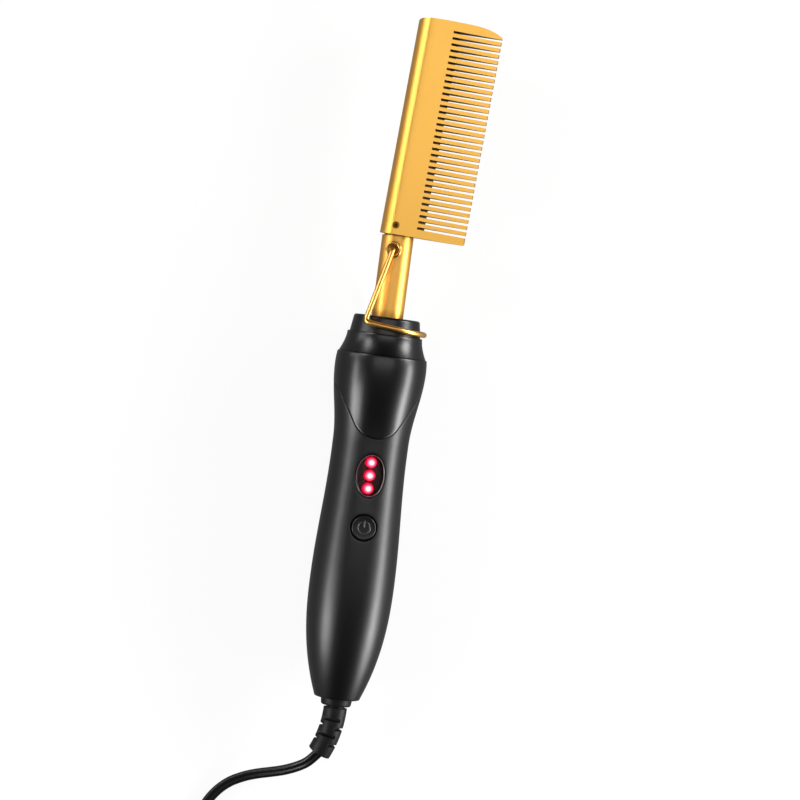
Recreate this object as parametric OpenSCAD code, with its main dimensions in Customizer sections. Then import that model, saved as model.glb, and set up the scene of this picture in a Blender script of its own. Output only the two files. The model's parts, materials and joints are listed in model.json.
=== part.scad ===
// Electric hot comb, lying on its back with the teeth to +X and the head towards +Y.
// Each piece is modelled upright, with Z along the handle, the front at -Y and the handle's end at Z = 0.

/* [Comb head] */
// Length of the head along its back
head_l = 92.2; // [70:0.1:110]
// Radius of the round back of the head
spine_r = 7.85; // [7.4:0.05:10]
// Reach of the teeth from the middle of the round back
tip_reach = 28.3; // [22:0.1:36]
// Thickness of the teeth at their tips
tip_t = 2.4; // [1.6:0.1:4]
// Distance from the middle of the round back to the bottom of the slots
slot_root = 9.4; // [8.5:0.1:14]
// Width of a slot between two teeth
slot_w = 1.05; // [0.6:0.05:1.6]
// Distance from one slot to the next
slot_pitch = 2.64; // [2.2:0.02:4]
// Height of the first slot above the lower edge of the head
slot_start = 4.3; // [3.5:0.1:8]
// Drop of the top edge from the back to the teeth
top_drop = 3; // [0:0.1:6]
// Lean of the head away from the line of the neck
head_lean = 3; // [0:0.5:6]
// Turn of the head and the neck about the handle
head_turn = 16; // [0:1:30]

/* [Heater] */
// Radius of the heating element
heater_r = 4.4; // [3:0.1:5]
// Length of the heating element
heater_l = 72; // [40:1:76]

/* [Neck] */
// Outer radius of the neck tube
neck_r = 6.7; // [6.2:0.05:7]
// Wall of the neck tube
neck_wall = 1; // [0.7:0.1:1.2]
// Length of the neck between the collar and the head
neck_l = 34.5; // [30:0.5:60]
// Radius of the stepped end that goes into the head
spigot_r = 5.8; // [5:0.05:6.2]
// Depth to which the stepped end goes into the head
spigot_l = 12; // [8:0.5:16]

/* [Stand] */
// Radius of the stand's wire
wire_r = 1.15; // [0.8:0.05:1.2]
// Distance from the stand's pivot up to the head
pivot_drop = 6; // [5:0.1:10]
// Radius of the round foot of the stand
foot_r = 16.4; // [16.4:0.1:20]
// Distance from the pivot to the stand's two lower corners
leg_drop = 31.6; // [30.8:0.1:33]
// Extra drop of the far end of the foot
foot_drop = 2.4; // [0:0.1:2.6]
// How far the legs stand back from the pivot
leg_back = 6.3; // [3:0.05:8]
// Bend radius of the stand's lower corners
corner_bend = 2.5; // [2:0.1:4]
// Outer radius of the hollow rivets that the stand's ends turn in
rivet_r = 1.9; // [1.8:0.05:2.2]

/* [Handle] */
// Height of the shoulder, where the collar starts
shoulder_z = 146.4; // [142:0.1:160]
// Radius of the shoulder
shoulder_r = 18.95; // [18.5:0.05:19.4]
// Radius of the handle at its bulge
bulge_r = 19.4; // [19.4:0.1:22]
// Radius of the waist
waist_r = 16.05; // [15.6:0.05:17]
// Radius of the belly
belly_r = 17.95; // [17.4:0.05:19]
// Radius of the handle's end
end_r = 9.9; // [9:0.1:12]
// Wall of the handle
shell_wall = 2.2; // [1.8:0.1:2.4]
// Length of the collar's sleeve, from the shoulder down to the end of its tongue
sleeve_l = 35.1; // [34:0.1:37]

/* [Collar] */
// Height of the flared collar ring
ring_h = 8.5; // [7:0.1:10]
// Height of the cap above the collar ring
cap_h = 7.5; // [6:0.1:8]
// Radius of the cap at its foot
cap_r = 15; // [14.4:0.05:15]

/* [Window and button] */
// Height of the middle of the window
window_z = 95.7; // [94:0.1:97]
// Half of the window's width
window_a = 6.2; // [6:0.1:7]
// Half of the window's height
window_b = 9.2; // [9:0.1:10]
// Radius of a lamp
led_r = 2.4; // [1.8:0.1:2.5]
// Distance from one lamp to the next
led_pitch = 5.5; // [5.2:0.1:5.6]
// Height of the button's middle
button_z = 73.9; // [73:0.1:75]
// Radius of the button
button_r = 5.1; // [4.4:0.1:5.4]
// Gap round the button
button_gap = 0.5; // [0.3:0.05:0.6]
// Travel of the button
button_travel = 0.5; // [0.3:0.1:0.8]

/* [Cord] */
// Outer radius of the cord
cord_r = 2.2; // [1.8:0.05:2.4]
// Radius of the strain relief
relief_r = 5; // [4.4:0.1:6]
// Bend radius of the strain relief
relief_bend = 45; // [35:1:70]
// Angle through which the strain relief bends
relief_turn = 26; // [16:1:34]
// Number of turns in the coil
coil_turns = 7; // [5:1:8]
// Radius of the outermost turn
coil_r = 50; // [48:1:54]
// Distance from the middle of the comb back to the middle of the coil
coil_away = 250; // [246:1:280]
// Radius of a plug pin
pin_r = 2; // [1.8:0.05:2.4]
// Length of a plug pin
pin_l = 19; // [15:0.5:22]
// Distance between the plug pins
pin_spacing = 18.6; // [17:0.1:20]
// Length of the plug's body
plug_l = 34; // [30:0.5:40]
// Width of the plug's body
plug_w = 30; // [28:0.5:36]
// Thickness of the plug's body
plug_h = 13.4; // [12:0.1:16]

/* [Hidden] */
$fn = 64;
// clearance of a fit, gap between pieces that move apart, and overlap for clean cuts
fit = 0.05;
gap = 0.3;
cut = 1;

gold = [0.95, 0.7, 0.3];
black = [0.1, 0.1, 0.1];
grip_black = [0.16, 0.16, 0.16];
steel = [0.75, 0.75, 0.78];

// heights along the handle
seam_z = shoulder_z + ring_h;
cap_top = seam_z + cap_h;
head_z = cap_top + neck_l;
pivot_z = head_z - pivot_drop;
guard_z = shoulder_z - sleeve_l;
waist_drop = 7.3;
waist_z = guard_z - waist_drop;
waist_l = 5;
bulge_foot = waist_z + waist_l;
bulge_drop = 5.4;
bulge_z = shoulder_z - bulge_drop;
belly_z = 50;
belly_power = 2.4;
edge_r = 1;

// radius that clears the whole handle, for cuts and halves
clear_r = max(bulge_r, shoulder_r, belly_r) + cut;

// the sleeve slides over a straight seat, and the neck's carrier sits in a straight bore
seat_r = 14.8;
bore_r = 13.2;
carrier_z = 130;
carrier_h = 12;
carrier_top = carrier_z + carrier_h;
tube_foot = carrier_z - 2;
ring_bore_r = 11;
lip_h = 5;

// round lower end of the sleeve's tongue and the lean of its two sides
tongue_r = 10.9;
tongue_lean = 31;

// head
tip_half = tip_t / 2;
flank = asin(spine_r / norm([tip_reach, tip_half])) - atan2(tip_half, tip_reach);
top_corner_r = 2;
low_corner_r = 1;
low_rise = 0.6;
tip_edge = 0.4;
slots = floor((head_l - slot_start - top_drop - tip_edge) / slot_pitch) + 1;
socket_l = spigot_l + 0.4;
heater_foot = head_z + spigot_r * sin(head_lean) + socket_l + 0.6;
lead_r = 0.7;
lead_x = 2.2;
lead_foot_x = 3;
lead_drop = 4;
lead_bend = 4;
knee_rise = 8;
sensor_y = 2.6;
sensor_drop = 3;
sensor_r = 0.5;
screw_r = 1.5;
screw_z = 4;
screw_x = -0.4;
screw_socket = 1.2;

// stand
rivet_bore_r = wire_r + 0.06;
rim_r = 3.45;
rim_h = 1;
recess_r = 2.3;
recess_lift = 0.3;
elbow_bend = 1.7;
elbow_y = neck_r + 1.72;
stand_end_y = neck_r - 2.1;
leg_foot_z = pivot_z - leg_drop;

// circuit board, carried behind the window and the button
board_front = 7;
board_t = 1.6;
board_w = 19;
board_l = 52;
board_high = window_z + window_b + 5.1;
board_low = board_high - board_l;
board_screw_x = 6.5;
board_screw_z = [board_low + 4, board_high - 3];
lens_outer = handle_r(window_z) - 0.35;
lens_t = 1.2;
lens_wall = 0.6;
button_face = handle_r(button_z) + 0.2;
flange_y = 12.9;
flange_t = 1;
flange_extra = 1.5;
plunger_r = 1.7;
switch_h = 3.4;
switch_w = 6;

// screws
shell_screws_at = [[-8.5, 30], [8.5, 30], [0, 50.5]];
boss_r = 3;
shell_screw_r = 1.3;
shell_head_r = 2.4;
shell_head_y = 9;
small_screw_r = 0.9;
small_head_r = 1.8;
small_head_h = 1;
board_screw_l = 4.6;
clamp_z = 38;
clamp_x = 6;

// cord inside the handle and the pieces that hold it
inner_cord_top = 44;
bushing_drop = 3.2;
relief_z = -bushing_drop - 1;
relief_core_r = 3.6;
relief_droop = 25;
slot_keep = 2.7;
relief_slot = 1.5;

// the tool lies on its bulge, with the middle of its box over the origin
top_corner = [tip_reach * cos(head_lean) + (head_l - top_drop) * sin(head_lean), tip_half];
reach_x = top_corner[0] * cos(head_turn) + top_corner[1] * sin(head_turn);
top_y = head_z + spine_r * 0.05 + head_l * cos(head_lean);
relief_end_z = relief_z - relief_bend * sin(relief_turn);
low_y = relief_end_z - relief_r * sin(relief_turn);
lie = [(bulge_r - reach_x) / 2, -(top_y + low_y) / 2, bulge_r];

// where the cord leaves its strain relief
relief_side = relief_bend * (1 - cos(relief_turn));
relief_end = lie + [-relief_side * cos(relief_droop), relief_end_z, -relief_side * sin(relief_droop)];

// cord route from the strain relief to the coil, and from the coil to the plug
cord_z = cord_r + 0.1;
turn_pitch = 2 * cord_r + 0.2;
coil_at = [-8, -coil_away, 0];
coil_in = coil_r - coil_turns * turn_pitch;
run_start = -210;
lead_route = concat([
    [-14.2, -160.3, 15.6], [-18, -163.3, 13.2], [-23.3, -166, 10.6], [-28.7, -167.9, 8.3],
    [-34.2, -169.6, 6.3], [-40, -171.9, 4.7], [-46, -175.4, 3.4], [-51.3, -180.8, 2.7],
    [-55.3, -188, 2.4], [-57.4, -196.5, cord_z]
], [for (t = [0, 0.25, 0.5, 0.75, 1]) [coil_at[0] - coil_r, part_way(run_start, -coil_away, t), cord_z]]);
tail_route = [for (p = [
    [-coil_in, 0, cord_z], [0.2 - coil_in, -7, 3.6], [0.8 - coil_in, -14, 5.8], [1.6 - coil_in, -21, 7],
    [2.8 - coil_in, -28, 7.1], [-13.2, -35, 7.1], [-11, -42, 7.1], [-9, -49, 7], [-8, -55, 6.8], [-8, -59, 6.8]
]) coil_at + p];
plug_at = coil_at + [-8, -56, plug_h / 2 + 0.1];
plug_neck_l = 12;
plug_corner = 1;
plug_side = 5;
plug_shoulder = 9;
plug_top = 5.5;
pin_root = 8;
pin_neck = 0.6;
pin_root_r = pin_r - 0.4;
tube_sides = 8;

// share of the way from a to b
function part_way(a, b, t) = a + (b - a) * t;
function ease(u) = (1 - cos(180 * u)) / 2;

// outer radius of the handle at height z: end, belly, waist, bulge and shoulder
function handle_r(z) =
    z <= belly_z ? part_way(end_r, belly_r, 1 - pow(1 - (z - edge_r) / (belly_z - edge_r), belly_power))
    : z <= waist_z ? part_way(belly_r, waist_r, ease((z - belly_z) / (waist_z - belly_z)))
    : z <= bulge_foot ? waist_r
    : z <= bulge_z ? part_way(waist_r, bulge_r, ease((z - bulge_foot) / (bulge_z - bulge_foot)))
    : part_way(bulge_r, shoulder_r, pow((z - bulge_z) / (shoulder_z - bulge_z), 2));

// points of the handle's outline from height a to height b, drawn in by inset
function handle_side(a, b, inset = 0, steps = 12) =
    [for (i = [0:steps]) let (z = part_way(a, b, i / steps)) [handle_r(z) - inset, z]];

// points of an arc about c
function arc(c, r, a, b, steps) =
    [for (i = [0:steps]) c + r * [cos(part_way(a, b, i / steps)), sin(part_way(a, b, i / steps))]];

function ellipse(a, b) = [for (i = [0:47]) [a * cos(i * 7.5), b * sin(i * 7.5)]];

function unit(v) = v / norm(v);

// lays a piece down from its upright place
module lay() {
    translate(lie) rotate([-90, 0, 0]) children();
}

// the head, neck and stand are turned together about the handle's line
module lay_turned() {
    lay() rotate([0, 0, -head_turn]) children();
}

// places a piece in the leaning frame of the head
module in_head() {
    translate([0, 0, head_z + spigot_r * sin(head_lean)]) rotate([0, head_lean, 0]) children();
}

// turns an upright piece so that it points out of the front
module facing_front() {
    rotate([90, 0, 0]) children();
}

// extrudes an outline drawn in X and Z from y = -deep to y = deep
module through(deep) {
    translate([0, deep, 0]) rotate([90, 0, 0]) linear_extrude(2 * deep) children();
}

// a round bar from p to q
module bar(p, q, r) {
    d = q - p;
    translate(p) rotate([0, acos(d[2] / norm(d)), atan2(d[1], d[0])]) cylinder(h = norm(d), r = r);
}

// the bend of a bar at corner b on its way from a to c
module bend(a, b, c, bend_r, r) {
    u = unit(b - a);
    v = unit(c - b);
    turn = acos(u * v);
    n = unit(v - (u * v) * u);
    start = b - u * bend_r * tan(turn / 2);
    centre = start + n * bend_r;
    w = cross(-n, u);
    multmatrix([
        [-n[0], u[0], w[0], centre[0]],
        [-n[1], u[1], w[1], centre[1]],
        [-n[2], u[2], w[2], centre[2]]
    ]) rotate_extrude(angle = turn) translate([bend_r, 0]) circle(r, $fn = 32);
}

// length that a bend takes off the bar on each side of corner b
function bend_off(a, b, c, bend_r) = bend_r * tan(acos(unit(b - a) * unit(c - b)) / 2);

// a bar through points, with a bend of the given radius at each inner one; each bend is a hair
// thinner than the straights and starts inside them
module bent_bar(points, bends, r) {
    last = len(points) - 1;
    for (i = [0:last - 1]) {
        a = points[i];
        b = points[i + 1];
        off_a = i == 0 ? 0 : bend_off(points[i - 1], a, b, bends[i - 1]) - fit;
        off_b = i == last - 1 ? 0 : bend_off(a, b, points[i + 2], bends[i]) - fit;
        bar(a + unit(b - a) * off_a, b - unit(b - a) * off_b, r, $fn = 32);
    }
    for (i = [1:last - 1])
        bend(points[i - 1], points[i], points[i + 1], bends[i - 1], r - fit / 2);
}

// points of a smooth route through p
function route_point(p, i, t) =
    let (a = p[max(i - 1, 0)], b = p[i], c = p[i + 1], d = p[min(i + 2, len(p) - 1)])
    0.5 * (2 * b + (c - a) * t + (2 * a - 5 * b + 4 * c - d) * t * t + (3 * b - a - 3 * c + d) * t * t * t);
function smooth_route(p) =
    concat([for (i = [0:len(p) - 2]) for (t = [0, 0.5]) route_point(p, i, t)], [p[len(p) - 1]]);
function heading(p, i) = unit(p[min(i + 1, len(p) - 1)] - p[max(i - 1, 0)]);

// a tube swept along p, with its rings kept level
module tube(p, r) {
    rings = [for (i = [0:len(p) - 1])
        let (u = heading(p, i), side = unit(cross(u, [0, 0, 1])), up = cross(side, u))
        for (k = [0:tube_sides - 1])
            let (a = 360 * (k + 0.5) / tube_sides) p[i] + r * (side * cos(a) + up * sin(a))];
    n = len(p);
    walls = [for (i = [0:n - 2]) for (k = [0:tube_sides - 1])
        let (a = i * tube_sides + k, b = i * tube_sides + (k + 1) % tube_sides)
        [b, a, a + tube_sides, b + tube_sides]];
    first = [for (k = [0:tube_sides - 1]) k];
    last = [for (k = [tube_sides - 1:-1:0]) (n - 1) * tube_sides + k];
    polyhedron(rings, concat(walls, [first, last]), convexity = 10);
}

// blank of the head: a round back and two flat flanks that close towards the teeth
module teardrop() {
    root = (spine_r - 0.02) * [sin(flank), cos(flank)];
    union() {
        cylinder(h = head_l, r = spine_r);
        linear_extrude(head_l) polygon([
            [0, 0], root, [tip_reach + cut, tip_half], [tip_reach + cut, -tip_half], [root[0], -root[1]]
        ]);
    }
}

// side view of the head, with its sloping top edge and small round corners
module head_outline() {
    top_c = [top_corner_r - spine_r, head_l - top_corner_r];
    low_c = [tip_reach - low_corner_r, low_rise + low_corner_r];
    polygon(concat(
        [[-spine_r - cut, 0], [low_c[0], low_rise]],
        arc(low_c, low_corner_r, -60, 0, 3),
        [[tip_reach, head_l - top_drop - tip_edge], [tip_reach - tip_edge, head_l - top_drop]],
        [[(tip_reach - spine_r) / 2, head_l - top_drop * 0.38]],
        arc(top_c, top_corner_r, 90, 165, 6),
        [[-spine_r - cut, top_c[1] - 2 * top_corner_r]]
    ));
}

module comb_head() {
    color(gold) lay_turned() difference() {
        in_head() difference() {
            intersection() {
                teardrop();
                through(spine_r + cut) head_outline();
            }
            for (i = [0:slots - 1])
                translate([slot_root, -spine_r, slot_start + i * slot_pitch - slot_w / 2])
                    cube([tip_reach, 2 * spine_r, slot_w]);
            translate([0, 0, socket_l - cut]) cylinder(h = heater_l + 2 + cut, r = heater_r + fit);
            translate([screw_x, 0, screw_z]) facing_front() cylinder(h = spine_r + cut, r = screw_r);
        }
        translate([0, 0, head_z - cut]) cylinder(h = socket_l + cut, r = spigot_r + fit);
    }
}

module set_screw() {
    color(steel) lay_turned() in_head() translate([screw_x, 0, screw_z]) facing_front() difference() {
        translate([0, 0, spigot_r + fit]) cylinder(h = spine_r - spigot_r - 0.4, r = screw_r - fit);
        translate([0, 0, spine_r - screw_socket]) cylinder(h = 2, r = screw_r / 2, $fn = 6);
    }
}

module heating_element() {
    color("white") lay_turned() in_head()
        translate([0, 0, socket_l + 0.6]) cylinder(h = heater_l, r = heater_r);
}

module neck_tube() {
    color(gold) lay_turned() difference() {
        union() {
            translate([0, 0, tube_foot]) cylinder(h = head_z - tube_foot, r = neck_r);
            translate([0, 0, head_z - cut]) cylinder(h = spigot_l + cut, r = spigot_r);
        }
        translate([0, 0, tube_foot - cut]) cylinder(h = head_z - tube_foot - 1, r = neck_r - neck_wall);
        translate([0, 0, head_z - 4]) cylinder(h = spigot_l + 4 + cut, r = spigot_r - neck_wall);
        translate([0, 0, pivot_z]) facing_front()
            cylinder(h = 4 * neck_r, r = rivet_r + fit / 2, center = true);
    }
}

// one hollow rivet: a sleeve through the neck's wall, a set end inside and a round rim outside
module rivet() {
    inner_y = neck_r - neck_wall - 0.8;
    difference() {
        union() {
            translate([0, 0, inner_y]) cylinder(h = neck_r - inner_y + rim_h, r = rivet_r);
            translate([0, 0, inner_y]) cylinder(h = 0.3, r = recess_r);
            difference() {
                translate([0, 0, neck_r / 2]) cylinder(h = neck_r / 2 + rim_h, r = rim_r);
                rotate([90, 0, 0]) cylinder(h = 4 * rim_r, r = neck_r + fit / 2, center = true);
            }
        }
        translate([0, 0, inner_y - cut]) cylinder(h = neck_r, r = rivet_bore_r);
        translate([0, 0, neck_r + recess_lift]) cylinder(h = rim_h, r = recess_r);
    }
}

module pivot_rivets() {
    color(gold) lay_turned() translate([0, 0, pivot_z]) for (side = [0, 180])
        rotate([0, 0, side]) facing_front() rivet();
}

// bent wire whose two ends turn inwards into the rivets
module stand_wire() {
    flip = [1, -1, 1];
    side = [
        [0, -stand_end_y, pivot_z], [0, -elbow_y, pivot_z],
        [-leg_back, -foot_r, leg_foot_z], [foot_r, -foot_r, leg_foot_z - foot_drop]
    ];
    points = concat(side, [for (i = [3:-1:0]) [for (k = [0:2]) side[i][k] * flip[k]]]);
    color(gold) lay_turned()
        bent_bar(points, [elbow_bend, corner_bend, foot_r, foot_r, corner_bend, elbow_bend], wire_r);
}

// heater wires, from the back of the circuit board up the neck to the heater
module heater_leads() {
    color("white") lay() for (side = [-1, 1]) {
        foot = [side * lead_foot_x, -board_front + board_t + lead_r + fit, board_high - lead_drop];
        knee = [side * lead_x, 0, guard_z + knee_rise];
        bent_bar([foot, knee, [side * lead_x, 0, heater_foot - gap]], [lead_bend], lead_r);
    }
}

// heat sensor against the foot of the heater, with its wire down the neck
module thermistor() {
    bead_r = 1.2;
    top = [0, sensor_y, heater_foot - bead_r - gap];
    foot = [0, -board_front + board_t + sensor_r + 2 * fit, board_high - sensor_drop];
    knee = [0, sensor_y, guard_z + knee_rise];
    color("red") lay() {
        translate(top) sphere(bead_r, $fn = 24);
        bent_bar([foot, knee, top], [lead_bend], sensor_r);
    }
}

module collar_cap() {
    top_r = 1.2;
    shoulder = cap_r - 0.9;
    color(black) lay() rotate_extrude() polygon(concat(
        [[neck_r + fit, cap_top], [neck_r + fit, seam_z - lip_h], [ring_bore_r, seam_z - lip_h]],
        [[ring_bore_r, seam_z], [cap_r, seam_z]],
        arc([shoulder - top_r, cap_top - top_r], top_r, 0, 90, 6)
    ));
}

module collar_ring() {
    flare = [for (i = [0:8]) [cap_r + 0.9 + 2.5 * pow(1 - i / 8, 1.7), shoulder_z + i * ring_h / 8]];
    color(black) lay() rotate_extrude() polygon(concat(
        [[ring_bore_r, seam_z], [ring_bore_r, carrier_top], [bore_r, carrier_top], [bore_r, shoulder_z]],
        flare
    ));
}

// the sleeve's tongue, seen from the front
module tongue_zone() {
    middle = guard_z + tongue_r;
    side = tongue_r * [cos(tongue_lean), -sin(tongue_lean)] + [0, middle];
    rise = shoulder_z + cut - side[1];
    top = side + rise * [tan(tongue_lean), 1];
    translate([0, middle]) circle(tongue_r);
    polygon([[-side[0], side[1]], side, top, [-top[0], top[1]]]);
}

module guard_sleeve() {
    color(black) lay() intersection() {
        rotate_extrude() polygon(concat(
            handle_side(guard_z - cut, shoulder_z, 0, 14),
            [[seat_r, shoulder_z], [seat_r, guard_z - cut]]
        ));
        through(clear_r) tongue_zone();
    }
}

module tube_carrier() {
    color(grip_black) lay() translate([0, 0, carrier_z]) difference() {
        cylinder(h = carrier_h, r = bore_r);
        translate([0, 0, -cut]) cylinder(h = carrier_h + 2 * cut, r = neck_r);
    }
}

// the whole handle casing before it is split: a thin wall, a seat for the sleeve and an end wall
module casing() {
    difference() {
        rotate_extrude() polygon(concat(
            [[relief_core_r + 1.4, 0], [end_r - edge_r, 0]],
            handle_side(edge_r, belly_z, 0, 14),
            handle_side(belly_z, waist_z, 0, 10),
            handle_side(bulge_foot, shoulder_z, 0, 14),
            [[bore_r, shoulder_z], [bore_r, waist_z]],
            handle_side(waist_z - 2, belly_z, shell_wall, 10),
            handle_side(belly_z - 2, shell_wall + 2, shell_wall, 14),
            [[handle_r(shell_wall + 2) - shell_wall - 1, shell_wall], [relief_core_r + 1.4, shell_wall]]
        ));
        intersection() {
            rotate_extrude() polygon([
                [seat_r, guard_z - cut], [clear_r, guard_z - cut],
                [clear_r, shoulder_z + cut], [seat_r, shoulder_z + cut]
            ]);
            through(clear_r + cut) tongue_zone();
        }
    }
}

// the inside of the handle up to the middle of its wall, which the bosses stand in
module core() {
    rotate_extrude() polygon(concat(
        [[0, shell_wall]],
        handle_side(shell_wall, belly_z, shell_wall / 2, 14),
        handle_side(belly_z + 2, board_high, shell_wall / 2, 10),
        [[0, board_high]]
    ));
}

// keeps the front or rear half of what it holds
module half(side) {
    intersection() {
        children();
        translate([-clear_r, side < 0 ? -clear_r : 0, -cut])
            cube([2 * clear_r, clear_r, shoulder_z + 2 * cut]);
    }
}

module grip_front() {
    color(grip_black) lay() difference() {
        union() {
            half(-1) casing();
            intersection() {
                core();
                union() {
                    for (p = shell_screws_at)
                        translate([p[0], 0, p[1]]) facing_front() cylinder(h = bulge_r, r = boss_r);
                    for (x = [-clamp_x, clamp_x])
                        translate([x, 0, clamp_z]) facing_front() cylinder(h = bulge_r, r = 2.2);
                    for (x = [-board_screw_x, board_screw_x], z = board_screw_z)
                        translate([x, -board_front, z]) facing_front() cylinder(h = bulge_r, r = 2);
                }
            }
        }
        translate([0, 0, window_z]) facing_front() linear_extrude(bulge_r)
            polygon(ellipse(window_a, window_b));
        translate([0, 0, button_z]) facing_front()
            cylinder(h = clear_r, r = button_r + button_gap);
        for (p = shell_screws_at)
            translate([p[0], cut, p[1]]) facing_front() cylinder(h = 9 + cut, r = shell_screw_r);
        for (x = [-clamp_x, clamp_x])
            translate([x, cut, clamp_z]) facing_front() cylinder(h = 6 + cut, r = small_screw_r);
        for (x = [-board_screw_x, board_screw_x], z = board_screw_z)
            translate([x, -board_front + cut, z]) facing_front() cylinder(h = 4 + cut, r = small_screw_r);
    }
}

module grip_rear() {
    color(grip_black) lay() difference() {
        union() {
            half(1) casing();
            intersection() {
                core();
                for (p = shell_screws_at)
                    translate([p[0], 0, p[1]]) rotate([-90, 0, 0]) cylinder(h = bulge_r, r = boss_r + 0.6);
            }
        }
        for (p = shell_screws_at) translate([p[0], 0, p[1]]) rotate([-90, 0, 0]) {
            translate([0, 0, -cut]) cylinder(h = shell_head_y + 2 * cut, r = shell_screw_r + fit);
            translate([0, 0, shell_head_y]) cylinder(h = bulge_r, r = shell_head_r + fit);
        }
    }
}

module shell_screws() {
    color(steel) lay() for (p = shell_screws_at) translate([p[0], 0, p[1]]) rotate([-90, 0, 0])
        difference() {
            union() {
                translate([0, 0, -8]) cylinder(h = 8 + shell_head_y, r = shell_screw_r);
                translate([0, 0, shell_head_y]) cylinder(h = 1.6, r = shell_head_r);
            }
            for (a = [0, 90]) rotate([0, 0, a])
                translate([-1.4, -0.3, shell_head_y + 0.7]) cube([2.8, 0.6, 2]);
        }
}

// window: a clear cover that drops into the opening, hollow behind its face
module window_lens() {
    wall_in = handle_r(window_z) - shell_wall;
    color([0.2, 0.05, 0.06]) lay() difference() {
        intersection() {
            translate([0, 0, window_z - window_b - 3]) cylinder(h = 2 * window_b + 6, r = lens_outer);
            translate([0, 0, window_z]) facing_front() linear_extrude(bulge_r)
                polygon(ellipse(window_a - fit, window_b - fit));
        }
        translate([0, 0, window_z - window_b - 3])
            cylinder(h = 2 * window_b + 6, r = wall_in - 0.2);
        intersection() {
            translate([0, 0, window_z - window_b - 3])
                cylinder(h = 2 * window_b + 6, r = lens_outer - lens_t);
            translate([0, 0, window_z]) facing_front() linear_extrude(bulge_r)
                polygon(ellipse(window_a - lens_wall, window_b - lens_wall));
        }
    }
}

module led_holder() {
    color(black) lay() translate([0, -board_front, window_z]) facing_front() difference() {
        linear_extrude(4.6) polygon(ellipse(window_a - 1, window_b - 0.9));
        for (i = [-1, 0, 1])
            translate([0, i * led_pitch, -cut]) cylinder(h = 8, r = led_r + fit);
    }
}

// a lamp on the circuit board; i counts from the middle lamp
module led(i) {
    dome_y = lens_outer - lens_t - gap - led_r;
    color("red") lay() translate([0, 0, window_z + i * led_pitch]) facing_front() {
        translate([0, 0, board_front]) cylinder(h = dome_y - board_front, r = led_r);
        translate([0, 0, dome_y]) sphere(led_r);
    }
}

module led_upper() {
    led(1);
}

module led_middle() {
    led(0);
}

module led_lower() {
    led(-1);
}

module power_button() {
    color(black) lay() translate([0, 0, button_z]) facing_front() {
        translate([0, 0, flange_y - flange_t]) cylinder(h = flange_t, r = button_r + flange_extra);
        translate([0, 0, flange_y - 0.5]) cylinder(h = button_face - flange_y + 0.1, r = button_r);
        translate([0, 0, button_face - 0.4]) cylinder(h = 0.4, r1 = button_r, r2 = button_r - 0.4);
    }
}

module switch_plunger() {
    color("white") lay() translate([0, 0, button_z]) facing_front() {
        top = flange_y - flange_t;
        low = board_front + switch_h - 0.8 - button_travel;
        translate([0, 0, low + button_travel]) cylinder(h = top - low - button_travel, r = plunger_r);
    }
}

module tact_switch() {
    color(steel) lay() translate([0, 0, button_z]) facing_front() difference() {
        translate([-switch_w / 2, -switch_w / 2, board_front]) cube([switch_w, switch_w, switch_h]);
        translate([0, 0, board_front + switch_h - 0.8 - button_travel - gap])
            cylinder(h = 4, r = plunger_r + gap);
    }
}

module circuit_board() {
    color("darkgreen") lay() difference() {
        translate([-board_w / 2, -board_front, board_low]) cube([board_w, board_t, board_high - board_low]);
        for (x = [-board_screw_x, board_screw_x], z = board_screw_z)
            translate([x, 0, z]) facing_front() cylinder(h = bulge_r, r = small_screw_r + fit);
    }
}

module board_screws() {
    color(steel) lay() for (x = [-board_screw_x, board_screw_x], z = board_screw_z)
        translate([x, 0, z]) facing_front() {
            translate([0, 0, board_front - board_t - small_head_h])
                cylinder(h = small_head_h, r = small_head_r);
            translate([0, 0, board_front - board_t - small_head_h / 2])
                cylinder(h = board_screw_l, r = small_screw_r - fit);
        }
}

// mains wires, from the end of the cord to the circuit board
module mains_leads() {
    board_y = -board_front + board_t + lead_r + fit;
    color("saddlebrown") lay() for (side = [-1, 1]) bent_bar([
        [side * 1.1, 0, inner_cord_top + 0.4], [side * 5.2, 0, inner_cord_top + 4],
        [side * 5.2, board_y, board_low + 9]
    ], [1.5], lead_r);
}

// places a piece in the strain relief's bend, where the cord leaves the handle
module in_relief() {
    rotate([0, 0, -relief_droop]) translate([-relief_bend, 0, relief_z]) rotate([-90, 0, 0]) children();
}

module cord_inner() {
    color(black) lay() {
        translate([0, 0, relief_z]) cylinder(h = inner_cord_top - relief_z, r = cord_r);
        in_relief() rotate_extrude(angle = relief_turn) translate([relief_bend, 0]) circle(cord_r);
    }
}

module cord_clamp() {
    color(grip_black) lay() difference() {
        translate([-9, 0, clamp_z - 3]) cube([18, 5, 6]);
        translate([0, 0, clamp_z - 4]) cylinder(h = 8, r = cord_r + fit);
        for (x = [-clamp_x, clamp_x]) translate([x, -cut, clamp_z]) rotate([-90, 0, 0])
            cylinder(h = 5 + 2 * cut, r = small_screw_r + fit);
    }
}

module clamp_screws() {
    color(steel) lay() for (x = [-clamp_x, clamp_x]) translate([x, 0, clamp_z]) rotate([-90, 0, 0]) {
        translate([0, 0, 5]) cylinder(h = 1.2, r = small_head_r);
        translate([0, 0, -5]) cylinder(h = 10.5, r = small_screw_r - fit);
    }
}

module cord_bushing() {
    hole = relief_core_r + 1.4;
    color(grip_black) lay() rotate_extrude() polygon([
        [relief_core_r, -bushing_drop], [6, -bushing_drop], [6.4, -bushing_drop + 0.6], [6.7, 0],
        [hole, 0], [hole, shell_wall], [hole + 1.6, shell_wall], [hole + 1.6, shell_wall + 1.6],
        [relief_core_r, shell_wall + 1.6]
    ]);
}

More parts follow.
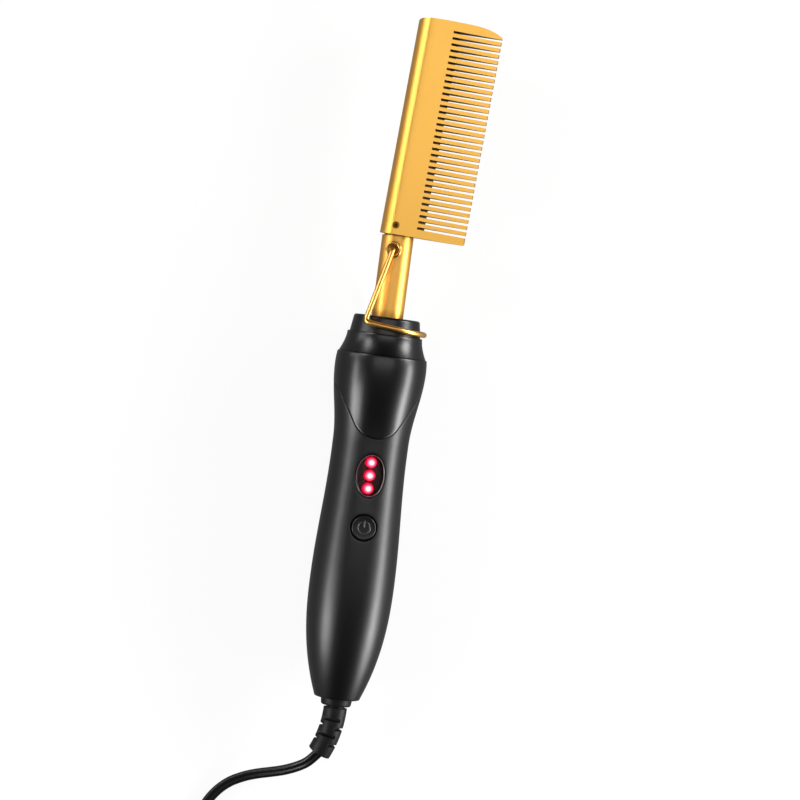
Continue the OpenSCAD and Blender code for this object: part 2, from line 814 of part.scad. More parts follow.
// strain relief: a bent rubber sleeve with slots cut from the sides and from front and back in turn
module strain_relief() {
    first_end = 4;
    step = (relief_turn * relief_bend * PI / 180 - 2 * first_end + relief_slot) / 4;
    flange = shell_wall + 1.6;
    color(black) lay() {
        difference() {
            union() {
                translate([0, 0, relief_z]) cylinder(h = flange - relief_z, r = relief_core_r);
                translate([0, 0, flange]) cylinder(h = 1.8, r = relief_core_r + 1.6);
            }
            translate([0, 0, relief_z - cut]) cylinder(h = 20, r = cord_r + fit);
        }
        in_relief() difference() {
            rotate_extrude(angle = relief_turn) translate([relief_bend, 0]) difference() {
                circle(relief_r);
                circle(cord_r + fit);
            }
            for (k = [0:3]) {
                at = first_end + k * step;
                rotate([0, 0, at / relief_bend * 180 / PI]) translate([relief_bend, relief_slot / 2, 0])
                    rotate([0, k % 2 == 0 ? 0 : 90, 0]) for (side = [-1, 1])
                        translate([0, 0, side * (slot_keep + relief_r)])
                            cube([4 * relief_r, relief_slot, 2 * relief_r], center = true);
            }
        }
    }
}

module cord_lead() {
    color(black) tube(smooth_route(concat([relief_end], lead_route)), cord_r);
}

module cord_coil() {
    color(black) translate(coil_at) rotate_extrude()
        translate([coil_in, 0]) square([coil_r + cord_r - coil_in, turn_pitch]);
}

module cord_tail() {
    color(black) tube(smooth_route(tail_route), cord_r);
}

// plug: a moulded body that widens to the pins, with a thin neck round the cord
module plug_body() {
    half_w = plug_w / 2;
    side = [
        [plug_top, 0], [half_w - 2, plug_shoulder - plug_l], [half_w, plug_side - plug_l],
        [half_w, plug_corner - plug_l], [half_w - plug_corner, -plug_l]
    ];
    color(black) translate(plug_at) rotate([90, 0, 0]) {
        difference() {
            cylinder(h = plug_neck_l, r = cord_r + 1.3);
            translate([0, 0, -cut]) cylinder(h = 4, r = cord_r + fit);
        }
        translate([0, 0, plug_neck_l]) difference() {
            rotate([-90, 0, 0]) translate([0, 0, -plug_h / 2]) linear_extrude(plug_h) polygon(concat(
                side,
                [for (i = [len(side) - 1:-1:0]) [-side[i][0], side[i][1]]]
            ));
            for (x = [-pin_spacing / 2, pin_spacing / 2])
                translate([x, 0, plug_l - pin_root]) cylinder(h = pin_root + cut, r = pin_root_r);
        }
    }
}

module plug_pins() {
    face_y = plug_at[1] - plug_neck_l - plug_l;
    color(steel) for (x = [-pin_spacing / 2, pin_spacing / 2])
        translate([plug_at[0] + x, face_y, plug_at[2]]) facing_front() {
            translate([0, 0, -pin_root]) cylinder(h = pin_root + pin_neck + fit, r = pin_root_r);
            translate([0, 0, pin_neck]) cylinder(h = pin_l - pin_r - pin_neck, r = pin_r);
            translate([0, 0, pin_l - pin_r]) sphere(pin_r);
        }
}

comb_head();
set_screw();
heating_element();
thermistor();
neck_tube();
pivot_rivets();
stand_wire();
collar_cap();
collar_ring();
guard_sleeve();
tube_carrier();
grip_front();
grip_rear();
shell_screws();
window_lens();
led_holder();
led_upper();
led_middle();
led_lower();
power_button();
switch_plunger();
tact_switch();
circuit_board();
board_screws();
heater_leads();
mains_leads();
cord_inner();
cord_clamp();
clamp_screws();
cord_bushing();
strain_relief();
cord_lead();
cord_coil();
cord_tail();
plug_body();
plug_pins();
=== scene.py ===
import bpy
import bmesh
import json
import math
from mathutils import Euler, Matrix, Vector


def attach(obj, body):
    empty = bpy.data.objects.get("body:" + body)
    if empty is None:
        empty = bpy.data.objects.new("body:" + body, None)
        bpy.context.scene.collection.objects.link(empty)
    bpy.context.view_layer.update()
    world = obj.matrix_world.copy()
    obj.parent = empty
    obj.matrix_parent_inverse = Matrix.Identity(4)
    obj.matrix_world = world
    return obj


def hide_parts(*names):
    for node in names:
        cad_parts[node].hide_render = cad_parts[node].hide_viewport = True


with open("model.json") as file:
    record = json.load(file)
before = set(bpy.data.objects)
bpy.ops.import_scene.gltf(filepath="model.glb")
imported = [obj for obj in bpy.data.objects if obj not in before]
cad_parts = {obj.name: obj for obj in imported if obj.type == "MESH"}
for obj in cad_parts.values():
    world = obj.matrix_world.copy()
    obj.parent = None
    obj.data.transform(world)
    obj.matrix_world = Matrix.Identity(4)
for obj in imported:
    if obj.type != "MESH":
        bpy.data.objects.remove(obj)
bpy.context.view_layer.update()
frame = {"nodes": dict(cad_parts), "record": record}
nodes = frame["nodes"]
print("frame loaded:", len(nodes), "nodes")

mm = 0.001
# where the upright tool lies, in mm, how its head is turned and leans, in degrees, and where it leans from, in mm
lie = {"x": -6.2926, "y": -131.6238, "z": 19.4, "headTurn": 16.0, "headLean": 3.0, "leanAt": 5.8}


def toRow(p):
    # a point of the upright tool in mm, front at -y, in the lying frame in metres
    return Vector(((p[0] + lie["x"]) * mm, (p[2] + lie["y"]) * mm, (lie["z"] - p[1]) * mm))


def toTurned(p):
    # the head, the neck and the stand are turned together about the handle's line
    a = math.radians(lie["headTurn"])
    return toRow((p[0] * math.cos(a) + p[1] * math.sin(a), p[1] * math.cos(a) - p[0] * math.sin(a), p[2]))


def toHead(p):
    b = math.radians(lie["headLean"])
    return toTurned((p[0] * math.cos(b) + p[2] * math.sin(b), p[1],
                     head["foot"] + lie["leanAt"] * math.sin(b) - p[0] * math.sin(b) + p[2] * math.cos(b)))


def mix(a, b, t):
    return a + (b - a) * t


def smooth(t):
    t = min(max(t, 0.0), 1.0)
    return t * t * (3 - 2 * t)


def spline(points, steps):
    # Catmull-Rom through the points, so many steps for each stretch
    out = []
    for i in range(len(points) - 1):
        a, b = points[max(i - 1, 0)], points[i]
        c, d = points[i + 1], points[min(i + 2, len(points) - 1)]
        for k in range(steps):
            t = k / steps
            out.append(tuple(0.5 * (2 * q + (r - p) * t + (2 * p - 5 * q + 4 * r - s) * t * t
                                    + (3 * q - p - 3 * r + s) * t ** 3) for p, q, r, s in zip(a, b, c, d)))
    return out + [tuple(points[-1])]


def runLength(points):
    return sum((Vector(b) - Vector(a)).length for a, b in zip(points, points[1:]))


def addObject(name, data):
    obj = bpy.data.objects.new(name, data)
    bpy.context.scene.collection.objects.link(obj)
    return obj


def setInputs(node, values):
    for label, value in values.items():
        node.inputs[label].default_value = value


# camera

camera = {"place": (-0.14992, 0.02369, 1.27856), "turn": (-2.125, -6.736, 7.645), "lens": 135.0, "sensor": 36.0,
          "clipEnd": 20.0}

eye = addObject("camera", bpy.data.cameras.new("camera"))
eye.location = camera["place"]
eye.rotation_euler = Euler([math.radians(a) for a in camera["turn"]])
eye.data.lens = camera["lens"]
eye.data.sensor_width = camera["sensor"]
eye.data.clip_end = camera["clipEnd"]
bpy.context.scene.camera = eye


# material tools

def newMaterial(name):
    mat = bpy.data.materials.new(name)
    mat.use_nodes = True
    return mat, mat.node_tree.nodes, mat.node_tree.links, mat.node_tree.nodes["Principled BSDF"]


def addGroup(name, inputs, outputs):
    tree = bpy.data.node_groups.new(name, "ShaderNodeTree")
    for label, kind, value in inputs:
        sock = tree.interface.new_socket(label, in_out="INPUT", socket_type=kind)
        sock.default_value = value
    for label, kind in outputs:
        tree.interface.new_socket(label, in_out="OUTPUT", socket_type=kind)
    return tree, tree.nodes.new("NodeGroupInput"), tree.nodes.new("NodeGroupOutput")


def mathNode(tree, operation, a, b=None):
    node = tree.nodes.new("ShaderNodeMath")
    node.operation = operation
    for k, value in enumerate((a, b)):
        if isinstance(value, (int, float)):
            node.inputs[k].default_value = value
        elif value is not None:
            tree.links.new(value, node.inputs[k])
    return node.outputs[0]


wearAndShade = {"grainDetail": 3.0, "slowScale": 60.0, "slowDetail": 4.0, "hollowSize": 0.004, "hollowPower": 1.5,
        "grainHeight": 0.0001}


def surfaceWearAndShade():
    # slow colour drift, fine grain, a little unevenness and painted shade that darkens the hollows, for every moulded
    # or metal face
    tree, gin, gout = addGroup(
        "surfaceWearAndShade",
        [("Color", "NodeSocketColor", (0.5, 0.5, 0.5, 1)), ("Drift", "NodeSocketFloat", 0.1),
         ("Grain Scale", "NodeSocketFloat", 2500.0), ("Roughness", "NodeSocketFloat", 0.4),
         ("Roughness Spread", "NodeSocketFloat", 0.05), ("Bump", "NodeSocketFloat", 0.1),
         ("Stretch", "NodeSocketVector", (1, 1, 1)), ("Painted Shade", "NodeSocketFloat", 0.0)],
        [("Color", "NodeSocketColor"), ("Roughness", "NodeSocketFloat"), ("Normal", "NodeSocketVector"),
         ("Open", "NodeSocketFloat")])
    links = tree.links
    place = tree.nodes.new("ShaderNodeTexCoord")
    stretch = tree.nodes.new("ShaderNodeVectorMath")
    stretch.operation = "MULTIPLY"
    links.new(place.outputs["Object"], stretch.inputs[0])
    links.new(gin.outputs["Stretch"], stretch.inputs[1])
    grain = tree.nodes.new("ShaderNodeTexNoise")
    grain.inputs["Detail"].default_value = wearAndShade["grainDetail"]
    links.new(stretch.outputs[0], grain.inputs["Vector"])
    links.new(gin.outputs["Grain Scale"], grain.inputs["Scale"])
    slow = tree.nodes.new("ShaderNodeTexNoise")
    setInputs(slow, {"Scale": wearAndShade["slowScale"], "Detail": wearAndShade["slowDetail"]})
    links.new(place.outputs["Object"], slow.inputs["Vector"])
    off = mathNode(tree, "SUBTRACT", slow.outputs["Fac"], 0.5)
    level = mathNode(tree, "ADD", mathNode(tree, "MULTIPLY", off, gin.outputs["Drift"]), 1.0)
    # painted shade: ambient occlusion darkens the colour in hollows, slot roots and gaps, where shade falls
    hollow = tree.nodes.new("ShaderNodeAmbientOcclusion")
    hollow.samples = 8
    hollow.inputs["Distance"].default_value = wearAndShade["hollowSize"]
    shut = mathNode(tree, "SUBTRACT", 1.0, mathNode(tree, "POWER", hollow.outputs["AO"], wearAndShade["hollowPower"]))
    keep = mathNode(tree, "SUBTRACT", 1.0, mathNode(tree, "MULTIPLY", shut, gin.outputs["Painted Shade"]))
    links.new(keep, gout.inputs["Open"])
    tint = tree.nodes.new("ShaderNodeVectorMath")
    tint.operation = "SCALE"
    links.new(gin.outputs["Color"], tint.inputs[0])
    links.new(mathNode(tree, "MULTIPLY", level, keep), tint.inputs["Scale"])
    links.new(tint.outputs[0], gout.inputs["Color"])
    fine = mathNode(tree, "SUBTRACT", grain.outputs["Fac"], 0.5)
    spread = mathNode(tree, "MULTIPLY", mathNode(tree, "ADD", fine, off), gin.outputs["Roughness Spread"])
    links.new(mathNode(tree, "ADD", gin.outputs["Roughness"], spread), gout.inputs["Roughness"])
    bump = tree.nodes.new("ShaderNodeBump")
    bump.inputs["Distance"].default_value = wearAndShade["grainHeight"]
    links.new(gin.outputs["Bump"], bump.inputs["Strength"])
    links.new(grain.outputs["Fac"], bump.inputs["Height"])
    links.new(bump.outputs["Normal"], gout.inputs["Normal"])
    return tree


wearAndShadeGroup = surfaceWearAndShade()

# what a finish has unless it says otherwise
plain = dict(metal=0.0, stretch=(1, 1, 1), coat=0.0, coatRough=0.25, paintedShade=0.0, gloss=0.5)
# paintedShade is how strongly the hollows are darkened with painted shade and their coat thinned
finishes = {
    "gold_head": dict(color=(0.93, 0.50, 0.085), metal=1.0, rough=0.38, spread=0.05, drift=0.06,
                      grain=1800, bump=0.12, coat=0.3, paintedShade=1.0),
    "gold_tube": dict(color=(0.88, 0.46, 0.09), metal=1.0, rough=0.4, spread=0.06, drift=0.08,
                      grain=1500, bump=0.05, stretch=(1, 0.08, 1), coat=0.25, paintedShade=0.7),
    "gold_wire": dict(color=(0.92, 0.48, 0.11), metal=1.0, rough=0.32, spread=0.06, drift=0.1,
                      grain=2500, bump=0.05, coat=0.4),
    "gold_rivet": dict(color=(0.86, 0.46, 0.1), metal=1.0, rough=0.26, spread=0.06, drift=0.1,
                       grain=2500, bump=0.05, coat=0.6, paintedShade=1.0),
    "brass_screw": dict(color=(0.85, 0.45, 0.08), metal=1.0, rough=0.45, spread=0.1, drift=0.15,
                        grain=2500, bump=0.1, paintedShade=1.0),
    "screw_steel": dict(color=(0.4, 0.39, 0.37), metal=1.0, rough=0.35, spread=0.1, drift=0.2,
                        grain=3000, bump=0.15),
    "pin_metal": dict(color=(0.62, 0.6, 0.57), metal=1.0, rough=0.25, spread=0.08, drift=0.1,
                      grain=2500, bump=0.08, stretch=(1, 0.1, 1)),
    "element": dict(color=(0.82, 0.78, 0.7), rough=0.6, spread=0.1, drift=0.15, grain=1500, bump=0.3),
    "gloss_black": dict(color=(0.0015, 0.0015, 0.0015), rough=0.3, spread=0.03, drift=0.15, grain=3500, bump=0.05),
    "soft_black": dict(color=(0.002, 0.002, 0.0019), rough=0.36, spread=0.04, drift=0.15, grain=5000, bump=0.12),
    "cord_black": dict(color=(0.005, 0.005, 0.005), rough=0.34, spread=0.06, drift=0.2,
                       grain=2500, bump=0.12, gloss=0.3),
    "relief_black": dict(color=(0.006, 0.006, 0.006), rough=0.5, spread=0.06, drift=0.2,
                         grain=2500, bump=0.15, gloss=0.2),
    "rim_black": dict(color=(0.02, 0.02, 0.02), rough=0.2, spread=0.05, drift=0.15,
                      grain=3500, bump=0.05, coat=0.6),
    "phenolic": dict(color=(0.04, 0.025, 0.018), rough=0.5, spread=0.1, drift=0.3, grain=1500, bump=0.3),
    "board": dict(color=(0.01, 0.09, 0.03), rough=0.4, spread=0.1, drift=0.3, grain=1200, bump=0.1, coat=0.2),
    "white_plastic": dict(color=(0.72, 0.72, 0.68), rough=0.45, spread=0.05, drift=0.08, grain=2500, bump=0.1),
    "wire_white": dict(color=(0.75, 0.75, 0.7), rough=0.5, spread=0.05, drift=0.1, grain=2500, bump=0.1),
    "wire_brown": dict(color=(0.12, 0.05, 0.02), rough=0.5, spread=0.05, drift=0.1, grain=2500, bump=0.1),
}


def finishMaterial(name, **finish):
    f = {**plain, **finish}
    mat, nds, links, shader = newMaterial(name)
    group = nds.new("ShaderNodeGroup")
    group.node_tree = wearAndShadeGroup
    setInputs(group, {"Color": (*f["color"], 1), "Drift": f["drift"], "Grain Scale": f["grain"],
                      "Roughness": f["rough"], "Roughness Spread": f["spread"], "Bump": f["bump"],
                      "Stretch": f["stretch"], "Painted Shade": f["paintedShade"]})
    links.new(group.outputs["Color"], shader.inputs["Base Color"])
    links.new(group.outputs["Roughness"], shader.inputs["Roughness"])
    links.new(group.outputs["Normal"], shader.inputs["Normal"])
    setInputs(shader, {"Metallic": f["metal"], "Coat Weight": f["coat"], "Coat Roughness": f["coatRough"],
                       "Specular IOR Level": f["gloss"]})
    if f["paintedShade"]:
        # painted shade: the coat thins out in the hollows, so they reflect less, as if shaded
        thin = mathNode(mat.node_tree, "MULTIPLY", group.outputs["Open"], f["coat"])
        links.new(thin, shader.inputs["Coat Weight"])
    return mat


materials = {name: finishMaterial(name, **finish) for name, finish in finishes.items()}

# the window: its oval, its three lamps and their glow, in mm
window = {"middle": 95.7, "halfWidth": 6.2, "halfHeight": 9.2, "lampPitch": 5.5, "glowReach": 3.2,
          "coverColor": (0.92, 0.88, 0.88, 1), "coverIor": 1.25, "coverGrain": 900.0, "coverRough": (0.02, 0.07)}


def glassMaterial():
    mat, nds, links, shader = newMaterial("window")
    setInputs(shader, {"Base Color": window["coverColor"], "Transmission Weight": 1.0, "IOR": window["coverIor"]})
    grain = nds.new("ShaderNodeTexNoise")
    grain.inputs["Scale"].default_value = window["coverGrain"]
    place = nds.new("ShaderNodeTexCoord")
    links.new(place.outputs["Object"], grain.inputs["Vector"])
    level = nds.new("ShaderNodeMapRange")
    setInputs(level, {"To Min": window["coverRough"][0], "To Max": window["coverRough"][1]})
    links.new(grain.outputs["Fac"], level.inputs["Value"])
    links.new(level.outputs["Result"], shader.inputs["Roughness"])
    return mat


def glowMaterial(name, stops, strength):
    # brightness by the distance from the middle of the nearest lamp, seen from the front; on the lamp holder it is
    # painted light, a red glow of the lamps spilled on the plate
    mat, nds, links, shader = newMaterial(name)
    place = nds.new("ShaderNodeTexCoord")
    nearest = None
    for k in (-1, 0, 1):
        away = nds.new("ShaderNodeVectorMath")
        away.operation = "SUBTRACT"
        links.new(place.outputs["Object"], away.inputs[0])
        away.inputs[1].default_value = toRow((0, 0, window["middle"] + k * window["lampPitch"]))
        flat = nds.new("ShaderNodeVectorMath")
        flat.operation = "MULTIPLY"
        flat.inputs[1].default_value = (1, 1, 0)
        links.new(away.outputs[0], flat.inputs[0])
        size = nds.new("ShaderNodeVectorMath")
        size.operation = "LENGTH"
        links.new(flat.outputs[0], size.inputs[0])
        if nearest is None:
            nearest = size.outputs["Value"]
        else:
            nearest = mathNode(mat.node_tree, "MINIMUM", nearest, size.outputs["Value"])
    share = mathNode(mat.node_tree, "DIVIDE", nearest, window["glowReach"] * mm)
    ramp = nds.new("ShaderNodeValToRGB")
    links.new(share, ramp.inputs["Fac"])
    for end in (0, -1):
        ramp.color_ramp.elements[end].position = stops[end][0]
        ramp.color_ramp.elements[end].color = (*stops[end][1], 1)
    for at, color in stops[1:-1]:
        ramp.color_ramp.elements.new(at).color = (*color, 1)
    links.new(ramp.outputs["Color"], shader.inputs["Emission Color"])
    setInputs(shader, {"Emission Strength": strength, "Base Color": (0.01, 0.003, 0.004, 1), "Roughness": 0.35})
    return mat


materials["window"] = glassMaterial()
materials["lamp"] = glowMaterial("lamp", [
    (0.0, (1.0, 1.0, 1.0)), (0.22, (1.0, 0.86, 0.9)), (0.42, (1.0, 0.16, 0.3)), (0.62, (0.72, 0.0, 0.035)),
    (0.84, (0.5, 0.0, 0.02))], 1.5)
# painted light: the holder's plate glows red round each lamp, a painted pool of the lamps' light
materials["holderPaintedGlow"] = glowMaterial("holderPaintedGlow", [
    (0.7, (0.35, 0.0, 0.015)), (0.86, (0.05, 0.0, 0.002)), (1.0, (0.004, 0.001, 0.001))], 1.0)


# the button's sign, in mm: the ring's radius, the line's middle and half length, the stroke's half width and edge,
# and half the gap at the ring's top
mark = {"height": 73.9, "ring": 2.55, "lineMiddle": 1.7, "lineHalf": 1.5, "stroke": 0.3, "soft": 0.12, "gap": 1.0,
        "color": (0.022, 0.022, 0.022, 1), "rough": 0.34, "press": 0.6, "depth": 0.0002}


def markedMaterial():
    # the gloss black finish with the usual power sign, a ring open at the top and a short line
    mat = finishMaterial("button_mark", **{**finishes["gloss_black"], "rough": mark["rough"]})
    tree = mat.node_tree
    nds, links = tree.nodes, tree.links
    shader, group = nds["Principled BSDF"], nds["Group"]
    place = nds.new("ShaderNodeTexCoord")
    away = nds.new("ShaderNodeVectorMath")
    away.operation = "SUBTRACT"
    links.new(place.outputs["Object"], away.inputs[0])
    away.inputs[1].default_value = toRow((0, 0, mark["height"]))
    parts = nds.new("ShaderNodeSeparateXYZ")
    links.new(away.outputs[0], parts.inputs[0])
    x, y = parts.outputs["X"], parts.outputs["Y"]
    size = mathNode(tree, "SQRT", mathNode(tree, "ADD", mathNode(tree, "MULTIPLY", x, x),
                                           mathNode(tree, "MULTIPLY", y, y)))

    def band(value, middle, half):
        # 1 where value is near the middle, with a soft edge
        off = mathNode(tree, "ABSOLUTE", mathNode(tree, "SUBTRACT", value, middle * mm))
        node = nds.new("ShaderNodeMapRange")
        setInputs(node, {"From Min": half * mm, "From Max": (half - mark["soft"]) * mm})
        links.new(off, node.inputs["Value"])
        return node.outputs["Result"]

    side = mathNode(tree, "ABSOLUTE", x)
    closed = mathNode(tree, "MAXIMUM", mathNode(tree, "GREATER_THAN", side, mark["gap"] * mm),
                      mathNode(tree, "LESS_THAN", y, 0.0))
    ring = mathNode(tree, "MULTIPLY", band(size, mark["ring"], mark["stroke"]), closed)
    line = mathNode(tree, "MULTIPLY", band(side, 0.0, mark["stroke"]), band(y, mark["lineMiddle"], mark["lineHalf"]))
    sign = mathNode(tree, "MAXIMUM", ring, line)
    paint = nds.new("ShaderNodeMix")
    paint.data_type = "RGBA"
    links.new(sign, paint.inputs["Factor"])
    # sockets 6 and 7 are the two colours, socket 2 of the outputs is their mix
    links.new(group.outputs["Color"], paint.inputs[6])
    paint.inputs[7].default_value = mark["color"]
    links.new(paint.outputs[2], shader.inputs["Base Color"])
    press = nds.new("ShaderNodeBump")
    setInputs(press, {"Strength": mark["press"], "Distance": mark["depth"]})
    links.new(sign, press.inputs["Height"])
    links.new(group.outputs["Normal"], press.inputs["Normal"])
    links.new(press.outputs["Normal"], shader.inputs["Normal"])
    return mat


materials["button_mark"] = markedMaterial()
print("materials made:", len(materials))


# mesh tools

def finishObject(name, mesh, material, body, replaced=(), sharp=35):
    mesh.materials.clear()
    mesh.materials.append(materials[material])
    for face in mesh.polygons:
        face.use_smooth = True
    mesh.set_sharp_from_angle(angle=math.radians(sharp))
    obj = addObject(name, mesh)
    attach(obj, body)
    if replaced:
        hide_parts(*replaced)
    return obj


def closeMesh(bm, name):
    bmesh.ops.remove_doubles(bm, verts=bm.verts, dist=1e-7)
    bmesh.ops.recalc_face_normals(bm, faces=bm.faces)
    mesh = bpy.data.meshes.new(name)
    bm.to_mesh(mesh)
    bm.free()
    return mesh


def bridge(bm, rings, around=False):
    # faces from each closed ring of vertices to the next, and from the last to the first when it goes around
    for here, there in zip(rings, rings[1:] + rings[:1] if around else rings[1:]):
        n = len(here)
        for k in range(n):
            bm.faces.new((here[k], here[(k + 1) % n], there[(k + 1) % n], there[k]))


def lathe(name, outline, place, steps=96):
    # turns a closed outline of (radius, height) about the tool's line; place takes tool points to the row
    bm = bmesh.new()
    rings = []
    for k in range(steps):
        a = 2 * math.pi * k / steps
        rings.append([bm.verts.new(place((r * math.cos(a), r * math.sin(a), z))) for r, z in outline])
    bridge(bm, rings, True)
    return closeMesh(bm, name)


def applyModifiers(obj):
    bpy.context.view_layer.update()
    graph = bpy.context.evaluated_depsgraph_get()
    mesh = bpy.data.meshes.new_from_object(obj.evaluated_get(graph), depsgraph=graph)
    obj.modifiers.clear()
    return mesh


def addBevel(obj, width, segments, angle):
    soft = obj.modifiers.new("soft", "BEVEL")
    soft.width, soft.segments, soft.limit_method = width, segments, "ANGLE"
    soft.angle_limit = math.radians(angle)


def cutShape(name, mesh, drillMesh, place, edge=0.0):
    # takes the drill out of the mesh, rounds the edges if asked, and places every point
    work, drill = addObject(name, mesh), addObject("drill", drillMesh)
    cut = work.modifiers.new("cut", "BOOLEAN")
    cut.operation, cut.solver, cut.object = "DIFFERENCE", "EXACT", drill
    if edge:
        addBevel(work, edge, 2, 38)
    done = applyModifiers(work)
    for obj in (work, drill):
        bpy.data.objects.remove(obj)
    for v in done.vertices:
        v.co = place(v.co)
    return done


def softCopy(name, node, width, angle=38):
    # a node's shape with its corners rounded
    bm = bmesh.new()
    bm.from_mesh(node.data)
    bm.transform(node.matrix_world)
    bmesh.ops.remove_doubles(bm, verts=bm.verts, dist=2e-6)
    bmesh.ops.dissolve_limit(bm, angle_limit=math.radians(1.0), verts=bm.verts, edges=bm.edges)
    work = addObject(name, closeMesh(bm, name))
    addBevel(work, width, 3, angle)
    mesh = applyModifiers(work)
    bpy.data.objects.remove(work)
    return mesh


# geometry node tools

def geometryTree(name, inputs):
    tree = bpy.data.node_groups.new(name, "GeometryNodeTree")
    tree.interface.new_socket("Geometry", in_out="INPUT", socket_type="NodeSocketGeometry")
    for label, kind in inputs:
        tree.interface.new_socket(label, in_out="INPUT", socket_type=kind)
    tree.interface.new_socket("Geometry", in_out="OUTPUT", socket_type="NodeSocketGeometry")
    return tree, tree.nodes.new("NodeGroupInput"), tree.nodes.new("NodeGroupOutput")


def finishTree(tree, gin, gout, result):
    realize = tree.nodes.new("GeometryNodeRealizeInstances")
    paint = tree.nodes.new("GeometryNodeSetMaterial")
    tree.links.new(result, realize.inputs[0])
    tree.links.new(realize.outputs[0], paint.inputs["Geometry"])
    tree.links.new(gin.outputs["Material"], paint.inputs["Material"])
    tree.links.new(paint.outputs["Geometry"], gout.inputs["Geometry"])


def runTree(tree, base, values, name):
    # puts the tree on base, sets its inputs by identifier and returns the result as a plain mesh
    mod = base.modifiers.new("make", "NODES")
    mod.node_group = tree
    ids = {item.name: item.identifier for item in tree.interface.items_tree if item.in_out == "INPUT"}
    for label, value in values.items():
        mod[ids[label]] = value
    mesh = applyModifiers(base)
    mesh.name = name
    return mesh


def sweepTree():
    # a bar of any outline along a curve, with the outline kept level
    tree, gin, gout = geometryTree("sweep", [("Outline", "NodeSocketObject"), ("Material", "NodeSocketMaterial")])
    level = tree.nodes.new("GeometryNodeSetCurveNormal")
    level.mode = "Z_UP"
    info = tree.nodes.new("GeometryNodeObjectInfo")
    sweep = tree.nodes.new("GeometryNodeCurveToMesh")
    sweep.inputs["Fill Caps"].default_value = True
    tree.links.new(gin.outputs["Geometry"], level.inputs["Curve"])
    tree.links.new(gin.outputs["Outline"], info.inputs["Object"])
    tree.links.new(level.outputs["Curve"], sweep.inputs["Curve"])
    tree.links.new(info.outputs["Geometry"], sweep.inputs["Profile Curve"])
    finishTree(tree, gin, gout, sweep.outputs["Mesh"])
    return tree


sweep = sweepTree()


def polyCurve(name, points, cyclic=False):
    data = bpy.data.curves.new(name, "CURVE")
    data.dimensions = "3D"
    line = data.splines.new("POLY")
    line.points.add(len(points) - 1)
    for point, p in zip(line.points, points):
        point.co = (*p, 1)
    line.use_cyclic_u = cyclic
    return addObject(name, data)


def sweepAlong(name, points, outline, material):
    # outline is a closed flat curve in metres
    path = polyCurve(name + "Path", points)
    section = polyCurve(name + "Section", [(x, y, 0) for x, y in outline], True)
    mesh = runTree(sweep, path, {"Outline": section, "Material": materials[material]}, name)
    bpy.data.objects.remove(path)
    bpy.data.objects.remove(section)
    bm = bmesh.new()
    bm.from_mesh(mesh)
    bpy.data.meshes.remove(mesh)
    return closeMesh(bm, name)


def circleOutline(r, sides=24):
    return [(r * math.cos(2 * math.pi * k / sides), r * math.sin(2 * math.pi * k / sides)) for k in range(sides)]


# cord: a flat twin lead from the strain relief to a coil and on to its plug

cord = {
    "width": 4.4, "thickness": 2.5, "coilMiddle": (-8, -250), "turns": 7, "outerTurn": 50.0, "pitch": 4.6,
    "low": 1.4, "lift": 0.5, "liftSteps": 8, "turnSteps": 48, "groove": 122, "relief": (-10.4195, -155.55, 17.475),
    "lead": [(-14.2, -160.3, 15.5), (-18, -163.3, 12.9), (-23.3, -166, 10.1), (-28.7, -167.9, 7.6),
             (-34.2, -169.6, 5.4), (-40, -171.9, 3.6), (-46, -175.4, 2.3), (-51.3, -180.8, 1.6),
             (-55.3, -188, 1.4), (-57.4, -196.5, 1.4), (-58, -210, 1.4), (-58, -220, 1.4), (-58, -230, 1.4),
             (-58, -240, 1.4)],
    "tail": [(-25.7, -257, 3.4), (-25.2, -264, 4.15), (-24.3, -271, 4.2), (-22.9, -278, 4.2), (-21.2, -285, 4.2),
             (-19.2, -292, 4.2), (-17.4, -298.5, 4.6), (-16.3, -303.5, 5.9), (-16, -309, 6.8)],
}


def cordPath():
    (mx, my), turnSteps = cord["coilMiddle"], cord["turnSteps"]
    coil = []
    count = turnSteps * cord["turns"]
    for k in range(count + 1):
        a = math.pi + 2 * math.pi * k / turnSteps
        r = cord["outerTurn"] - cord["pitch"] * k / turnSteps
        rise = cord["lift"] * smooth((k - count + cord["liftSteps"]) / cord["liftSteps"])
        coil.append((mx + r * math.cos(a), my + r * math.sin(a), cord["low"] + rise))
    lead = spline([cord["relief"]] + cord["lead"] + [coil[0]], 4)
    tail = spline([coil[-1]] + cord["tail"], 4)
    return [tuple(c * mm for c in p) for p in lead[:-1] + coil + tail[1:]]


def twinOutline():
    # two round cores side by side under one skin, with a groove between them
    r = cord["thickness"] / 2
    off = cord["width"] / 2 - r
    half = []
    for k in range(15):
        a = math.radians(mix(-cord["groove"], cord["groove"], k / 14))
        half.append((off + r * math.cos(a), r * math.sin(a)))
    return [(x * mm, y * mm) for x, y in half + [(-x, -y) for x, y in half]]


path = cordPath()
powerCord = finishObject("powerCord", sweepAlong("powerCord", path, twinOutline(), "cord_black"),
                         "cord_black", "handle", ("cord_lead", "cord_coil", "cord_tail"), sharp=60)
print("cord laid:", round(runLength(path), 3), "m")


# handle casing and the collar's sleeve share one surface and one parting line

handle = {
    "end": 9.9, "belly": 17.95, "waist": 16.05, "bulge": 19.4, "shoulder": 18.95, "bellyAt": 50.0,
    "waistAt": 104.0, "waistEnd": 109.0, "bulgeAt": 141.0, "shoulderAt": 146.4, "wall": 2.2, "seat": 14.8,
    "tongueRadius": 10.9, "tongueMiddle": 122.2, "tongueLean": 31.0, "endPower": 2.4,
    "lineGuess": 125.0, "thinFrom": 100, "thinShare": 0.9,
    "endEdge": [(5.1, 0.0), (8.6, 0.0), (9.1, 0.05), (9.5, 0.2), (9.75, 0.5)], "endTop": 1.2,
    "button": 73.9, "buttonHole": 5.6,
}
